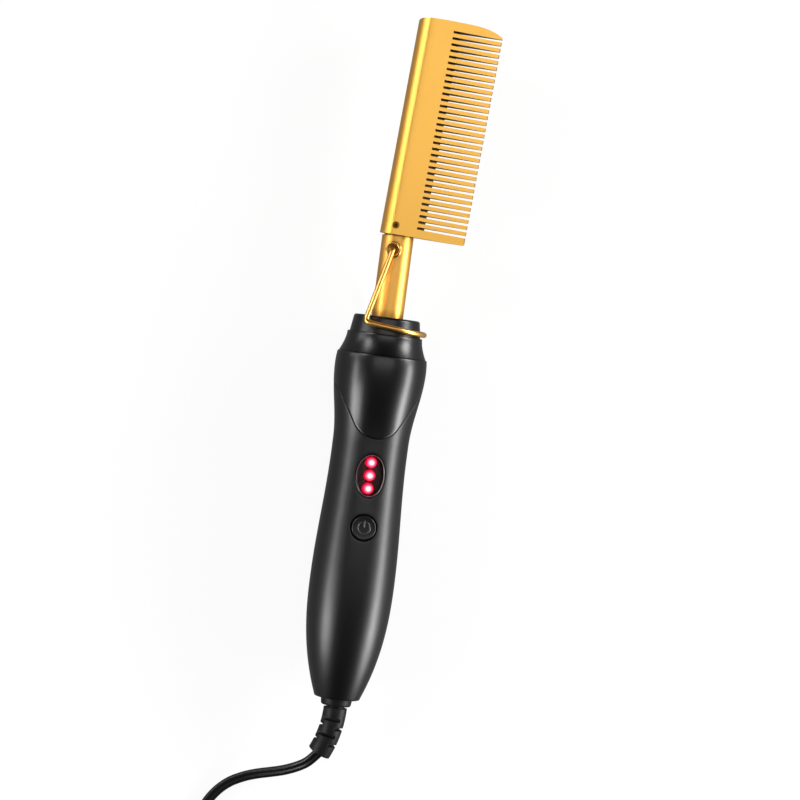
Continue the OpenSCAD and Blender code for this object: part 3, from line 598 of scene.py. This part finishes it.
# the grip's rows of points, in mm: plain ones, those at the button and at the window, and those up to the line
gripRowsAt = {"first": 1.8, "button": 66.0, "buttonStep": 1.6, "window": 84.0, "windowStep": 1.5, "line": 108.0}
# columns of points, in degrees; three close ones at each seam make its fine groove
gripColumns = {"step": 2.5, "seam": (89.9, 89.6, 89.2), "drops": {0: 0.16, 1: 0.05}, "grooveOver": 9.8}
# the patches of the grid taken out for the button and the window: half their columns, first and last row
gripPatches = {"button": (10, 32, 42), "window": (13, 43, 59)}
# the rounded edge of a hole, as (distance from the hole, drop under the surface), and the plain ring round it
holeEdge = {"apron": 0.7, "rings": 5, "rims": [(0.4, 0.0), (0.24, 0.03), (0.12, 0.1), (0.04, 0.2), (0.0, 0.34)]}
# the rounded edge along the parting line, as (distance from the line, drop under the surface)
edgeSteps = [(0.42, 0.0), (0.26, 0.02), (0.15, 0.07), (0.08, 0.15), (0.05, 0.25)]
edgeLip = 1.2


def handleRadius(z):
    h = handle
    if z <= h["bellyAt"]:
        return mix(h["end"], h["belly"], 1 - (1 - (max(z, 1) - 1) / (h["bellyAt"] - 1)) ** h["endPower"])
    if z <= h["waistAt"]:
        t = (z - h["bellyAt"]) / (h["waistAt"] - h["bellyAt"])
        return mix(h["belly"], h["waist"], (1 - math.cos(math.pi * t)) / 2)
    if z <= h["waistEnd"]:
        return h["waist"]
    if z <= h["bulgeAt"]:
        t = (z - h["waistEnd"]) / (h["bulgeAt"] - h["waistEnd"])
        return mix(h["waist"], h["bulge"], (1 - math.cos(math.pi * t)) / 2)
    return mix(h["bulge"], h["shoulder"], ((z - h["bulgeAt"]) / (h["shoulderAt"] - h["bulgeAt"])) ** 2)


def partingHeight(phi):
    # height of the line between the grip and the sleeve at this angle from the front
    h, z = handle, handle["lineGuess"]
    lean = math.radians(h["tongueLean"])
    sideX = h["tongueRadius"] * math.cos(lean)
    sideZ = h["tongueMiddle"] - h["tongueRadius"] * math.sin(lean)
    for _ in range(12):
        x = abs(handleRadius(z) * math.sin(phi))
        if x < sideX:
            z = h["tongueMiddle"] - math.sqrt(h["tongueRadius"] ** 2 - x * x)
        else:
            z = sideZ + (x - sideX) / math.tan(lean)
    return z


def partingSlope(phi):
    # how much further a step across the line is when it is taken along the handle
    dz = (partingHeight(phi + 0.01) - partingHeight(phi - 0.01)) / (0.02 * 17)
    return math.sqrt(1 + min(dz * dz, 9))


def gripRows(phi):
    # (radius, height) up the grip at this angle, from the end's hole to the parting line
    g = gripRowsAt
    rows = handle["endEdge"] + [(handleRadius(handle["endTop"]), handle["endTop"])]
    heights = [mix(g["first"], g["button"], k / 26) for k in range(26)]
    heights += [g["button"] + g["buttonStep"] * k for k in range(11)]
    heights += [g["window"] + g["windowStep"] * k for k in range(17)]
    top, slope = partingHeight(phi), partingSlope(phi)
    last = top - edgeSteps[0][0] * slope
    heights += [mix(g["line"], last, k / 12) for k in range(1, 12)]
    rows += [(handleRadius(z), z) for z in heights]
    for away, drop in edgeSteps:
        z = top - away * slope
        rows.append((handleRadius(z) - drop, z))
    rows.append((handleRadius(top) - edgeLip, top - edgeSteps[-1][0] * slope))
    return rows


def innerOf(p):
    # the point of the inside wall behind a point of the outside
    r = math.hypot(p[0], p[1])
    z = max(p[2], handle["wall"])
    wall = handle["wall"] * (1 if p[2] < handle["thinFrom"] else handle["thinShare"])
    inside = min(r, handleRadius(z) - wall)
    return (p[0] * inside / r, p[1] * inside / r, z)


def shellFrom(bm, outer, name):
    # closes an open surface of tool points into a wall and takes it to the row
    inner = {v: bm.verts.new(innerOf(v.co)) for v in outer}
    edges = [e for e in bm.edges if len(e.link_faces) == 1]
    faces = list(bm.faces)
    for e in edges:
        a, b = e.verts
        bm.faces.new((a, b, inner[b], inner[a]))
    for f in faces:
        bm.faces.new([inner[v] for v in reversed(f.verts)])
    for v in bm.verts:
        v.co = toRow(v.co)
    return closeMesh(bm, name)


def openHole(bm, loop, middle, half, wide):
    # fills from a ring of grid points to a round or oval hole, with a rounded edge
    rings = [list(loop)]
    spots = [(v.co.x, v.co.z - middle) for v in loop]
    angles = [math.atan2(z / half, x / wide) for x, z in spots]
    apron = holeEdge["apron"]
    for step in range(1, holeEdge["rings"]):
        share = 1.0 - step / holeEdge["rings"]
        ring = []
        for (x, z), a in zip(spots, angles):
            ex, ez = (wide + apron) * math.cos(a), (half + apron) * math.sin(a)
            px, pz = mix(ex, x, share), middle + mix(ez, z, share)
            ring.append(bm.verts.new((px, -math.sqrt(handleRadius(pz) ** 2 - px * px), pz)))
        rings.append(ring)
    for away, drop in holeEdge["rims"]:
        ring = []
        for a in angles:
            px, pz = (wide + away) * math.cos(a), middle + (half + away) * math.sin(a)
            ring.append(bm.verts.new((px, drop - math.sqrt(handleRadius(pz) ** 2 - px * px), pz)))
        rings.append(ring)
    bridge(bm, rings)


def gripHalf(name, front):
    c = gripColumns
    phis = [math.radians(-90 + c["step"] * k) for k in range(round(180 / c["step"]) + 1)]
    near = [math.radians(a) for a in c["seam"]]
    columns = [-a for a in near] + phis[1:-1] + near[::-1]
    side = -1 if front else 1
    bm = bmesh.new()
    grid = []
    for i, phi in enumerate(columns):
        drop = c["drops"].get(min(i, len(columns) - 1 - i), 0.0)
        line = []
        for r, z in gripRows(phi):
            r -= drop if r > c["grooveOver"] else 0.0
            line.append(bm.verts.new((r * math.sin(phi), side * r * math.cos(phi), z)))
        grid.append(line)
    holes = []
    if front:
        middle = len(columns) // 2
        for label, *hole in (("button", handle["button"], handle["buttonHole"], handle["buttonHole"]),
                             ("window", window["middle"], window["halfHeight"], window["halfWidth"])):
            half, first, last = gripPatches[label]
            holes.append((middle - half, middle + half, first, last, *hole))
    for i in range(len(columns) - 1):
        for j in range(len(grid[0]) - 1):
            if any(a <= i < b and c <= j < d for a, b, c, d, *_ in holes):
                continue
            bm.faces.new((grid[i][j], grid[i + 1][j], grid[i + 1][j + 1], grid[i][j + 1]))
    for a, b, c, d, mid, half, wide in holes:
        loop = [grid[i][c] for i in range(a, b)] + [grid[b][j] for j in range(c, d)]
        loop += [grid[i][d] for i in range(b, a, -1)] + [grid[a][j] for j in range(d, c, -1)]
        openHole(bm, loop, mid, half, wide)
    used = [v for v in bm.verts if v.link_faces]
    bmesh.ops.delete(bm, geom=[v for v in bm.verts if not v.link_faces], context="VERTS")
    return shellFrom(bm, [v for v in used if v.is_valid], name)


def sleeveMesh():
    h = handle
    bm = bmesh.new()
    grid = []
    steps = 144
    for i in range(steps):
        phi = 2 * math.pi * i / steps
        low, slope = partingHeight(phi), partingSlope(phi)
        rows = [(handleRadius(low) - edgeLip, low + edgeSteps[-1][0] * slope)]
        for away, drop in reversed(edgeSteps):
            z = low + away * slope
            rows.append((handleRadius(z) - drop, z))
        first = low + edgeSteps[0][0] * slope
        for k in range(1, 25):
            z = mix(first, h["shoulderAt"] - 0.9, k / 24)
            rows.append((handleRadius(z), z))
        for away, drop in ((0.5, 0.02), (0.25, 0.1), (0.1, 0.24), (0.02, 0.45)):
            rows.append((handleRadius(h["shoulderAt"] - away) - drop, h["shoulderAt"] - away))
        rows += [(h["shoulder"] - 0.75, h["shoulderAt"]), (h["seat"] + 0.2, h["shoulderAt"]),
                 (h["seat"] + 0.02, h["shoulderAt"] - 0.2), (h["seat"] + 0.02, low + edgeSteps[-1][0] * slope + 0.1)]
        grid.append([bm.verts.new(toRow((r * math.sin(phi), -r * math.cos(phi), z))) for r, z in rows])
    bridge(bm, grid, True)
    return closeMesh(bm, "sleeve")


finishObject("gripFront", gripHalf("gripFront", True), "soft_black", "handle", ("grip_front",))
finishObject("gripRear", gripHalf("gripRear", False), "soft_black", "handle", ("grip_rear",))
finishObject("guardSleeve", sleeveMesh(), "gloss_black", "handle", ("guard_sleeve",))

# collar: a flared ring on the shoulder and a round cap on it

collar = {"ringHeight": 8.5, "capHeight": 7.5, "capRadius": 15.0, "lip": 0.9, "flare": 2.5, "flarePower": 1.7,
          "bore": 13.2, "boreFoot": 142.0, "mouth": 11.0, "neck": 6.7, "socket": 5.0, "round": 1.2}


def ringOutline():
    c, z0 = collar, handle["shoulderAt"]
    top = z0 + c["ringHeight"]
    flare = [(c["capRadius"] + c["lip"] + c["flare"] * (1 - k / 12) ** c["flarePower"],
              z0 + 0.15 + k * (c["ringHeight"] - 0.15) / 12) for k in range(13)]
    lower = [(flare[0][0] - 0.25, z0 + 0.01), (flare[0][0] - 0.06, z0 + 0.05)]
    upper = [(flare[-1][0] - 0.08, top + 0.12), (flare[-1][0] - 0.3, top + 0.2), (c["capRadius"] - 0.6, top + 0.12)]
    inner = [(c["mouth"], top), (c["mouth"], c["boreFoot"]), (c["bore"], c["boreFoot"]), (c["bore"], z0)]
    return inner + lower + flare + upper


def capOutline():
    c = collar
    foot = handle["shoulderAt"] + c["ringHeight"]
    top = foot + c["capHeight"]
    r = c["round"]
    middle = c["capRadius"] - 0.9 - r
    arc = [(middle + r * math.cos(math.radians(a)), top - r + r * math.sin(math.radians(a))) for a in range(0, 91, 10)]
    inner = [(c["neck"] + 0.7, top), (c["neck"] + 0.3, top - 0.12), (c["neck"] + 0.05, top - 0.5)]
    return [(c["neck"] + 0.05, foot - c["socket"]), (c["mouth"], foot - c["socket"]), (c["mouth"], foot + 0.02),
            (c["capRadius"] - 0.25, foot + 0.02), (c["capRadius"], foot + 0.25)] + arc + inner


finishObject("collarRing", lathe("collarRing", ringOutline(), toRow, 128), "gloss_black", "handle", ("collar_ring",))
finishObject("collarCap", lathe("collarCap", capOutline(), toRow, 128), "gloss_black", "handle", ("collar_cap",))
print("handle made")

# comb head: a blank with its slots milled by a geometry node tree

head = {
    "foot": 196.9, "spine": 7.85, "reach": 28.3, "tip": 2.4, "edge": 0.34, "screwHole": 1.5, "root": 9.15,
    "lean": -0.11, "slotWidth": 1.05, "slotPitch": 2.609, "firstSlot": 4.3, "slots": 33, "slotDepth": 40.0,
    "slotThrough": 2.4, "lowRise": 0.6, "lowFrom": -8.85, "lowRun": 36.15, "tipRound": 1.0,
    "topEdge": [(-7.85, 90.2), (-7.44, 90.75), (-6.6, 91.2), (-5.6, 91.5), (-4, 91.78), (-0.4, 92.02), (4, 92.18),
                (9, 92.22), (14, 92.2), (17.5, 92.1), (20.4, 91.82), (23.6, 91.2), (26.3, 90.3), (27.6, 89.6),
                (28.1, 89.1), (28.3, 88.5)],
    # how far each column of points is from the tip towards the round spine
    "shares": [0, 0.004, 0.01, 0.02, 0.04, 0.07, 0.11, 0.16, 0.22, 0.3, 0.38, 0.47, 0.56, 0.66, 0.77, 0.88],
}
# the set screw, also for its hole in the head
screw = {"radius": 1.44, "x": -0.4, "z": 4.0, "top": 7.3, "foot": 5.9, "socket": 0.92, "deep": 1.25, "holeFoot": 4.0,
         "holeTop": 12.0}


headEdge = spline(head["topEdge"], 4)


def headTop(x):
    # height of the top edge, which rounds over towards the teeth
    for a, b in zip(headEdge, headEdge[1:]):
        if x <= b[0]:
            return mix(a[1], b[1], max(x - a[0], 0) / (b[0] - a[0]))
    return headEdge[-1][1]


def headLow(x):
    # height of the lower edge, with a round corner at the tip
    h = head
    rise = h["lowRise"] * (x - h["lowFrom"]) / h["lowRun"]
    near = (x - (h["reach"] - h["tipRound"])) / h["tipRound"]
    return max(0.0, rise) + (1 - math.sqrt(max(1 - near * near, 0)) if near > 0 else 0)


def headBlank():
    h = head
    lean = math.asin(h["spine"] / math.hypot(h["reach"], h["tip"] / 2)) - math.atan2(h["tip"] / 2, h["reach"])
    start = math.pi / 2 - lean
    side = [(mix(h["reach"], h["spine"] * math.cos(start), t), mix(h["tip"] / 2, h["spine"] * math.sin(start), t))
            for t in h["shares"]]
    side += [(h["spine"] * math.cos(mix(start, math.pi, k / 28)), h["spine"] * math.sin(mix(start, math.pi, k / 28)))
             for k in range(29)]
    bm = bmesh.new()
    levels = []
    for high in (False, True):
        rows = []
        for x, y in side:
            z = headTop(x) if high else headLow(x)
            rows.append((bm.verts.new((x, y, z)), bm.verts.new((x, -y, z))))
        levels.append(rows)
    low, high = levels
    n = len(side)
    for k in range(n - 1):
        for s in (0, 1):
            bm.faces.new((low[k][s], low[k + 1][s], high[k + 1][s], high[k][s]))
        for rows in (low, high):
            bm.faces.new((rows[k][0], rows[k + 1][0], rows[k + 1][1], rows[k][1]))
    bm.faces.new((low[0][0], low[0][1], high[0][1], high[0][0]))
    return closeMesh(bm, "headBlank")


def slotTree():
    # takes a row of slots with leaning square ends out of a blank
    tree, gin, gout = geometryTree("millSlots", [
        ("Slots", "NodeSocketInt"), ("First", "NodeSocketFloat"), ("Pitch", "NodeSocketFloat"),
        ("Width", "NodeSocketFloat"), ("Root", "NodeSocketFloat"), ("Depth", "NodeSocketFloat"),
        ("Thickness", "NodeSocketFloat"), ("Lean", "NodeSocketFloat"), ("Material", "NodeSocketMaterial")])
    nds, links = tree.nodes, tree.links

    def combine(x, y, z):
        node = nds.new("ShaderNodeCombineXYZ")
        for k, value in enumerate((x, y, z)):
            if isinstance(value, (int, float)):
                node.inputs[k].default_value = value
            else:
                links.new(value, node.inputs[k])
        return node.outputs[0]

    cutter = nds.new("GeometryNodeMeshCube")
    links.new(combine(gin.outputs["Depth"], gin.outputs["Thickness"], gin.outputs["Width"]), cutter.inputs["Size"])
    half = mathNode(tree, "MULTIPLY", gin.outputs["Depth"], 0.5)
    shift = nds.new("GeometryNodeTransform")
    links.new(cutter.outputs["Mesh"], shift.inputs["Geometry"])
    links.new(combine(mathNode(tree, "ADD", gin.outputs["Root"], half), 0, 0), shift.inputs["Translation"])
    links.new(combine(0, 0, gin.outputs["Lean"]), shift.inputs["Rotation"])
    row = nds.new("GeometryNodeMeshLine")
    links.new(gin.outputs["Slots"], row.inputs["Count"])
    links.new(combine(0, 0, gin.outputs["First"]), row.inputs["Start Location"])
    links.new(combine(0, 0, gin.outputs["Pitch"]), row.inputs["Offset"])
    place = nds.new("GeometryNodeInstanceOnPoints")
    links.new(row.outputs["Mesh"], place.inputs["Points"])
    links.new(shift.outputs["Geometry"], place.inputs["Instance"])
    real = nds.new("GeometryNodeRealizeInstances")
    links.new(place.outputs["Instances"], real.inputs["Geometry"])
    cut = nds.new("GeometryNodeMeshBoolean")
    cut.operation = "DIFFERENCE"
    cut.solver = "EXACT"
    links.new(gin.outputs["Geometry"], cut.inputs["Mesh 1"])
    links.new(real.outputs["Geometry"], cut.inputs["Mesh 2"])
    finishTree(tree, gin, gout, cut.outputs["Mesh"])
    return tree


def combHead():
    h = head
    blank = addObject("blank", headBlank())
    mesh = runTree(slotTree(), blank, {
        "Slots": h["slots"], "First": h["firstSlot"], "Pitch": h["slotPitch"], "Width": h["slotWidth"],
        "Root": h["root"], "Depth": h["slotDepth"], "Thickness": h["slotThrough"] * h["spine"], "Lean": h["lean"],
        "Material": materials["gold_head"]}, "slotted")
    bpy.data.objects.remove(blank)
    outline = [(0.01, screw["holeFoot"]), (h["screwHole"], screw["holeFoot"]), (h["screwHole"], screw["holeTop"]),
               (0.01, screw["holeTop"])]
    drill = lathe("drill", outline, lambda p: Vector((p[0] + screw["x"], -p[2], p[1] + screw["z"])), 32)
    return cutShape("slotted", mesh, drill, toHead, h["edge"])


finishObject("combHead", combHead(), "gold_head", "handle", ("comb_head",), sharp=30)
print("comb head made")

# folding stand: one wire whose two ends turn into the rivets of the neck

stand = {"wire": 1.15, "back": 6.3, "foot": 16.4, "top": 190.9, "drop": 31.6, "farDrop": 2.4, "corner": 2.6,
         "elbow": 1.75, "elbowAt": 8.42, "end": 4.6}


def softCorner(a, b, c, back, steps):
    # a round bend at b on the way from a to c
    start, end = b + (a - b).normalized() * back, b + (c - b).normalized() * back
    return [(1 - t) ** 2 * start + 2 * t * (1 - t) * b + t * t * end for t in [k / steps for k in range(steps + 1)]]


def standPath():
    s = stand
    low = s["top"] - s["drop"]
    end = Vector((0, -s["end"], s["top"]))
    elbow = Vector((0, -s["elbowAt"], s["top"]))
    corner = Vector((-s["back"], -s["foot"], low))
    far = Vector((s["foot"], -s["foot"], low - s["farDrop"]))
    lift = (far - corner).normalized()
    foot = []
    for k in range(33):
        a = math.radians(mix(-90, 0, k / 32))
        x = s["foot"] * math.cos(a)
        z = corner.z + lift.z * (x + s["back"]) / lift.x
        foot.append(Vector((x, s["foot"] * math.sin(a), z)))
    half = [end] + softCorner(end, elbow, corner, s["elbow"], 8) + softCorner(elbow, corner, far, s["corner"], 10)
    half += foot
    return half + [Vector((p.x, -p.y, p.z)) for p in reversed(half[:-1])]


wirePoints = [tuple(toTurned(p)) for p in standPath()]
finishObject("standWire", sweepAlong("standWire", wirePoints, circleOutline(stand["wire"] * mm, 20), "gold_wire"),
             "gold_wire", "stand", ("stand_wire",), sharp=50)
print("stand made")

# the two hollow rivets: a round rim outside, a recess in it and a bore for the wire

rivet = {"height": 190.9, "bore": 1.24, "sleeve": 1.9, "rim": 3.45, "recess": 2.3, "inner": 4.9, "seat": 5.5,
         "face": 6.7}


def rivetMesh():
    v = rivet
    y = v["face"]
    outline = [(v["bore"], v["inner"]), (v["sleeve"], v["inner"]), (v["sleeve"], v["seat"]),
               (v["rim"], v["seat"]), (v["rim"], y + 0.62), (v["rim"] - 0.06, y + 0.8), (v["rim"] - 0.22, y + 0.94),
               (v["rim"] - 0.45, y + 1.0), (v["recess"] + 0.42, y + 1.0), (v["recess"] + 0.2, y + 0.94),
               (v["recess"] + 0.05, y + 0.8), (v["recess"], y + 0.3), (v["bore"] + 0.25, y + 0.26),
               (v["bore"] + 0.06, y + 0.18), (v["bore"], y)]
    bm = bmesh.new()
    for side in (-1, 1):
        half = lathe("half", outline, lambda p: toTurned((p[0], side * p[2], v["height"] + p[1])), 64)
        bm.from_mesh(half)
        bpy.data.meshes.remove(half)
    return closeMesh(bm, "rivets")


finishObject("pivotRivets", rivetMesh(), "gold_rivet", "handle", ("pivot_rivets",), sharp=50)

# neck tube, with a hole at each rivet

neck = {"foot": 128.0, "shoulder": 196.9, "top": 208.9, "radius": 6.7, "spigot": 5.8, "wall": 1.0, "hole": 2.0,
        "through": 9.0}


def neckMesh():
    t = neck
    inside = t["radius"] - t["wall"]
    outline = [(inside, t["foot"]), (t["radius"] - 0.1, t["foot"]), (t["radius"], t["foot"] + 0.1)]
    outline += [(t["radius"], mix(t["foot"] + 6, t["shoulder"] - 0.15, k / 16)) for k in range(17)]
    outline += [(t["radius"] - 0.15, t["shoulder"]), (t["spigot"], t["shoulder"]), (t["spigot"], t["top"]),
                (t["spigot"] - t["wall"], t["top"]), (t["spigot"] - t["wall"], t["shoulder"] - 1.0),
                (inside, t["shoulder"] - 1.0)]
    hole = [(0.01, -t["through"]), (t["hole"], -t["through"]), (t["hole"], t["through"]), (0.01, t["through"])]
    drill = lathe("neckDrill", hole, lambda p: Vector((p[0], p[2], rivet["height"] + p[1])), 32)
    return cutShape("neck", lathe("neck", outline, Vector, 128), drill, toTurned)


finishObject("neckTube", neckMesh(), "gold_tube", "handle", ("neck_tube",))

# set screw with a hexagon socket, below the head's face


def screwMesh():
    v, steps = screw, 48
    bm = bmesh.new()
    rings = []
    levels = [(v["radius"], v["foot"], False), (v["radius"], v["top"] - 0.3, False),
              (v["radius"] - 0.12, v["top"] - 0.08, False), (v["radius"] - 0.3, v["top"], False),
              (v["socket"] + 0.1, v["top"], True), (v["socket"], v["top"] - 0.1, True),
              (v["socket"], v["top"] - v["deep"], True), (0.02, v["top"] - v["deep"] - 0.2, True)]
    for r, y, flat in levels:
        ring = []
        for k in range(steps):
            a = 2 * math.pi * k / steps
            near = (a + math.pi / 6) % (math.pi / 3) - math.pi / 6
            size = r * math.cos(math.pi / 6) / math.cos(near) if flat else r
            ring.append(bm.verts.new(toHead((v["x"] + size * math.cos(a), -y, v["z"] + size * math.sin(a)))))
        rings.append(ring)
    bridge(bm, rings)
    bm.faces.new(rings[0])
    bm.faces.new(rings[-1])
    return closeMesh(bm, "screw")


finishObject("setScrew", screwMesh(), "brass_screw", "handle", ("set_screw",))
print("neck, rivets and set screw made")

# window: a thin clear cover and a fine rim round it

cover = {"inset": 0.12, "gap": 0.4, "depth": 0.25, "thickness": 0.7, "rimWidth": 0.55, "rimHeight": 0.12}


def onWindow(share, a, depth):
    # a point of the window's oval, so far from its middle and so far under the handle's surface
    x = share[0] * math.cos(a)
    z = window["middle"] + share[1] * math.sin(a)
    return toRow((x, depth - math.sqrt(handleRadius(z) ** 2 - x * x), z))


def coverMesh():
    c, steps = cover, 72
    less = c["inset"] + c["gap"]
    wide, tall = window["halfWidth"] - less, window["halfHeight"] - less
    bm = bmesh.new()
    sheets = []
    for depth in (c["depth"], c["depth"] + c["thickness"]):
        middle = bm.verts.new(onWindow((0, 0), 0, depth))
        rings = [[bm.verts.new(onWindow((wide * k / 8, tall * k / 8), 2 * math.pi * i / steps, depth))
                  for i in range(steps)] for k in range(1, 9)]
        for i in range(steps):
            bm.faces.new((middle, rings[0][i], rings[0][(i + 1) % steps]))
        bridge(bm, rings)
        sheets.append(rings[-1])
    bridge(bm, sheets)
    return closeMesh(bm, "cover")


def rimMesh():
    c, steps = cover, 96
    wide, tall = window["halfWidth"] - c["inset"], window["halfHeight"] - c["inset"]
    section = [(0.0, 1.2), (0.0, 0.12), (0.05, 0.0), (0.16, -c["rimHeight"]), (0.3, -c["rimHeight"]),
               (0.42, 0.05), (c["rimWidth"], 0.3), (c["rimWidth"], 1.2)]
    bm = bmesh.new()
    rings = [[bm.verts.new(onWindow((wide - off, tall - off), 2 * math.pi * i / steps, depth))
              for off, depth in section] for i in range(steps)]
    bridge(bm, rings, True)
    return closeMesh(bm, "rim")


finishObject("windowCover", coverMesh(), "window", "handle", ("window_lens",))
finishObject("windowRim", rimMesh(), "rim_black", "handle", sharp=60)

# button: a flat cap with a raised edge, in a dark gap

button = {"radius": 5.1, "dish": 0.12, "over": 0.2, "flange": 1.5, "flangeFoot": 11.9, "flangeTop": 12.9}


def buttonMesh():
    b, height = button, handle["button"]
    face = handleRadius(height) + b["over"]
    r, wide = b["radius"], b["radius"] + b["flange"]
    outline = [(0.02, b["flangeFoot"]), (wide, b["flangeFoot"]), (wide, b["flangeTop"]), (r, b["flangeTop"]),
               (r, face - 0.5), (r - 0.05, face - 0.28), (r - 0.18, face - 0.1), (r - 0.38, face),
               (r - 0.62, face - 0.06), (r - 0.8, face - b["dish"])]
    outline += [(mix(r - 0.8, 0.02, k / 10), face - b["dish"] - 0.1 * math.sin(math.pi / 2 * k / 10))
                for k in range(1, 11)]
    return lathe("button", outline, lambda p: toRow((p[0], -p[2], height + p[1])), 96)


finishObject("powerButton", buttonMesh(), "button_mark", "button", ("power_button",), sharp=50)

# bushing, slotted strain relief and plug

finishObject("cordBushing", softCopy("cordBushing", nodes["cord_bushing"], 0.25 * mm, 25), "relief_black", "handle",
             ("cord_bushing",))
finishObject("strainRelief", softCopy("strainRelief", nodes["strain_relief"], 0.2 * mm), "relief_black", "handle",
             ("strain_relief",))

plug = {"at": (-16, -306, 6.8), "neck": 12.0, "squareOver": 14.0, "squarePower": 0.55}


def plugMesh():
    # rounded sections along the plug, from its cord end to its face
    g = plug
    stations = [(0.0, 3.3, 3.3), (0.3, 3.5, 3.5)]
    for k in range(5):
        z = 1.6 + 2.1 * k
        stations += [(z, 3.5, 3.5), (z + 0.25, 2.9, 2.9), (z + 0.85, 2.9, 2.9), (z + 1.1, 3.6, 3.55)]
    stations += [(g["neck"], 4.2, 4.0), (g["neck"] + 1.2, 5.4, 5.0), (g["neck"] + 4, 7.0, 5.9),
                 (g["neck"] + 9, 9.6, 6.5), (g["neck"] + 15, 11.8, 6.65), (g["neck"] + 22, 13.6, 6.7),
                 (g["neck"] + 28, 14.8, 6.7), (g["neck"] + 32, 15.0, 6.7), (g["neck"] + 33.4, 14.7, 6.5),
                 (g["neck"] + 33.85, 14.2, 6.1), (g["neck"] + 34, 13.4, 5.4), (g["neck"] + 34, 0.02, 0.02)]
    steps = 64
    bm = bmesh.new()
    rings = []
    for z, wide, high in stations:
        power = mix(1.0, g["squarePower"], smooth((z - g["neck"]) / g["squareOver"]))
        ring = []
        for k in range(steps):
            a = 2 * math.pi * k / steps
            c, n = math.cos(a), math.sin(a)
            x = math.copysign(abs(c) ** power, c) * wide
            y = math.copysign(abs(n) ** power, n) * high
            ring.append(bm.verts.new(((g["at"][0] + x) * mm, (g["at"][1] - z) * mm, (g["at"][2] + y) * mm)))
        rings.append(ring)
    bridge(bm, rings)
    bm.faces.new(rings[0])
    bm.faces.new(rings[-1])
    return closeMesh(bm, "plug")


finishObject("plugBody", plugMesh(), "cord_black", "handle", ("plug_body",), sharp=50)
print("small pieces made")

# kept nodes take the finish of their slot in the record

slots = {part["node"]: part["material_slot"] for part in frame["record"]["subparts"]}
for name, obj in nodes.items():
    # the lamp holder takes the painted glow of the lamps' light
    wanted = "holderPaintedGlow" if name == "led_holder" else slots[name]
    obj.data.materials.clear()
    obj.data.materials.append(materials[wanted])

# light and floor

lights = [
    # name, place in metres, aimed at, width, length, radiance
    ("nearRight", (0.78, -0.42, 0.24), (0, -0.42, 0.02), 0.36, 0.4, 9.5),
    ("nearLeft", (-0.86, -0.38, 0.42), (0, -0.38, 0.02), 0.26, 0.46, 15.0),
    ("sideRight", (0.78, -0.13, 0.28), (0, -0.13, 0.02), 0.5, 0.18, 18.0),
    ("sideLeft", (-0.86, -0.09, 0.34), (0, -0.09, 0.02), 0.36, 0.11, 12.0),
    ("ringRight", (0.78, 0.42, 0.36), (0, 0.02, 0.02), 0.36, 0.34, 18.0),
    ("ringLeft", (-0.86, 0.62, 0.58), (0, 0.02, 0.02), 0.4, 0.3, 11.0),
    ("spineLeft", (-0.86, 0.26, 0.17), (0, 0.26, 0.02), 0.14, 0.42, 6.0),
    ("facePanel", (0.0, 0.27, 1.38), (0.0, 0.27, 0.0), 1.3, 0.44, 2.0),
]
for name, where, aim, width, length, radiance in lights:
    lamp = bpy.data.lights.new(name, "AREA")
    lamp.shape = "RECTANGLE"
    lamp.size, lamp.size_y = width, length
    lamp.energy = radiance * math.pi * width * length
    obj = addObject(name, lamp)
    obj.location = where
    obj.rotation_euler = (Vector(where) - Vector(aim)).to_track_quat("Z", "Y").to_euler()

# the world is white to the camera and dim to the tool
backdrop = {"seen": 1.0, "onTool": 0.025}
world = bpy.data.worlds.new("studio")
bpy.context.scene.world = world
world.use_nodes = True
worldNodes, worldLinks = world.node_tree.nodes, world.node_tree.links
worldNodes["Background"].inputs["Color"].default_value = (1, 1, 1, 1)
rays = worldNodes.new("ShaderNodeLightPath")
level = worldNodes.new("ShaderNodeMapRange")
setInputs(level, {"To Min": backdrop["onTool"], "To Max": backdrop["seen"]})
worldLinks.new(rays.outputs["Is Camera Ray"], level.inputs["Value"])
worldLinks.new(level.outputs["Result"], worldNodes["Background"].inputs["Strength"])

# the floor's own grey holds the shadow; its glow makes it white where it is seen
floor = {"color": (0.1, 0.1, 0.1, 1), "rough": 0.9, "glow": 0.9, "mirrored": 0.2, "half": 3.0}


def floorMaterial():
    mat, nds, links, shader = newMaterial("floor")
    setInputs(shader, {"Base Color": floor["color"], "Roughness": floor["rough"], "Specular IOR Level": 0.0})
    path = nds.new("ShaderNodeLightPath")
    soft = mathNode(mat.node_tree, "MULTIPLY", path.outputs["Is Glossy Ray"], floor["mirrored"])
    seen = mathNode(mat.node_tree, "MAXIMUM", path.outputs["Is Camera Ray"], soft)
    seen = mathNode(mat.node_tree, "MAXIMUM", seen, path.outputs["Is Transmission Ray"])
    glow = nds.new("ShaderNodeEmission")
    links.new(mathNode(mat.node_tree, "MULTIPLY", seen, floor["glow"]), glow.inputs["Strength"])
    both = nds.new("ShaderNodeAddShader")
    links.new(shader.outputs[0], both.inputs[0])
    links.new(glow.outputs[0], both.inputs[1])
    links.new(both.outputs[0], nds["Material Output"].inputs["Surface"])
    return mat


def makeFloor():
    bm = bmesh.new()
    bmesh.ops.create_grid(bm, x_segments=8, y_segments=8, size=floor["half"])
    mesh = bpy.data.meshes.new("floor")
    bm.to_mesh(mesh)
    bm.free()
    mesh.materials.append(floorMaterial())
    addObject("floor", mesh)


makeFloor()
bpy.context.scene.view_settings.view_transform = "Standard"
print("stage lit")
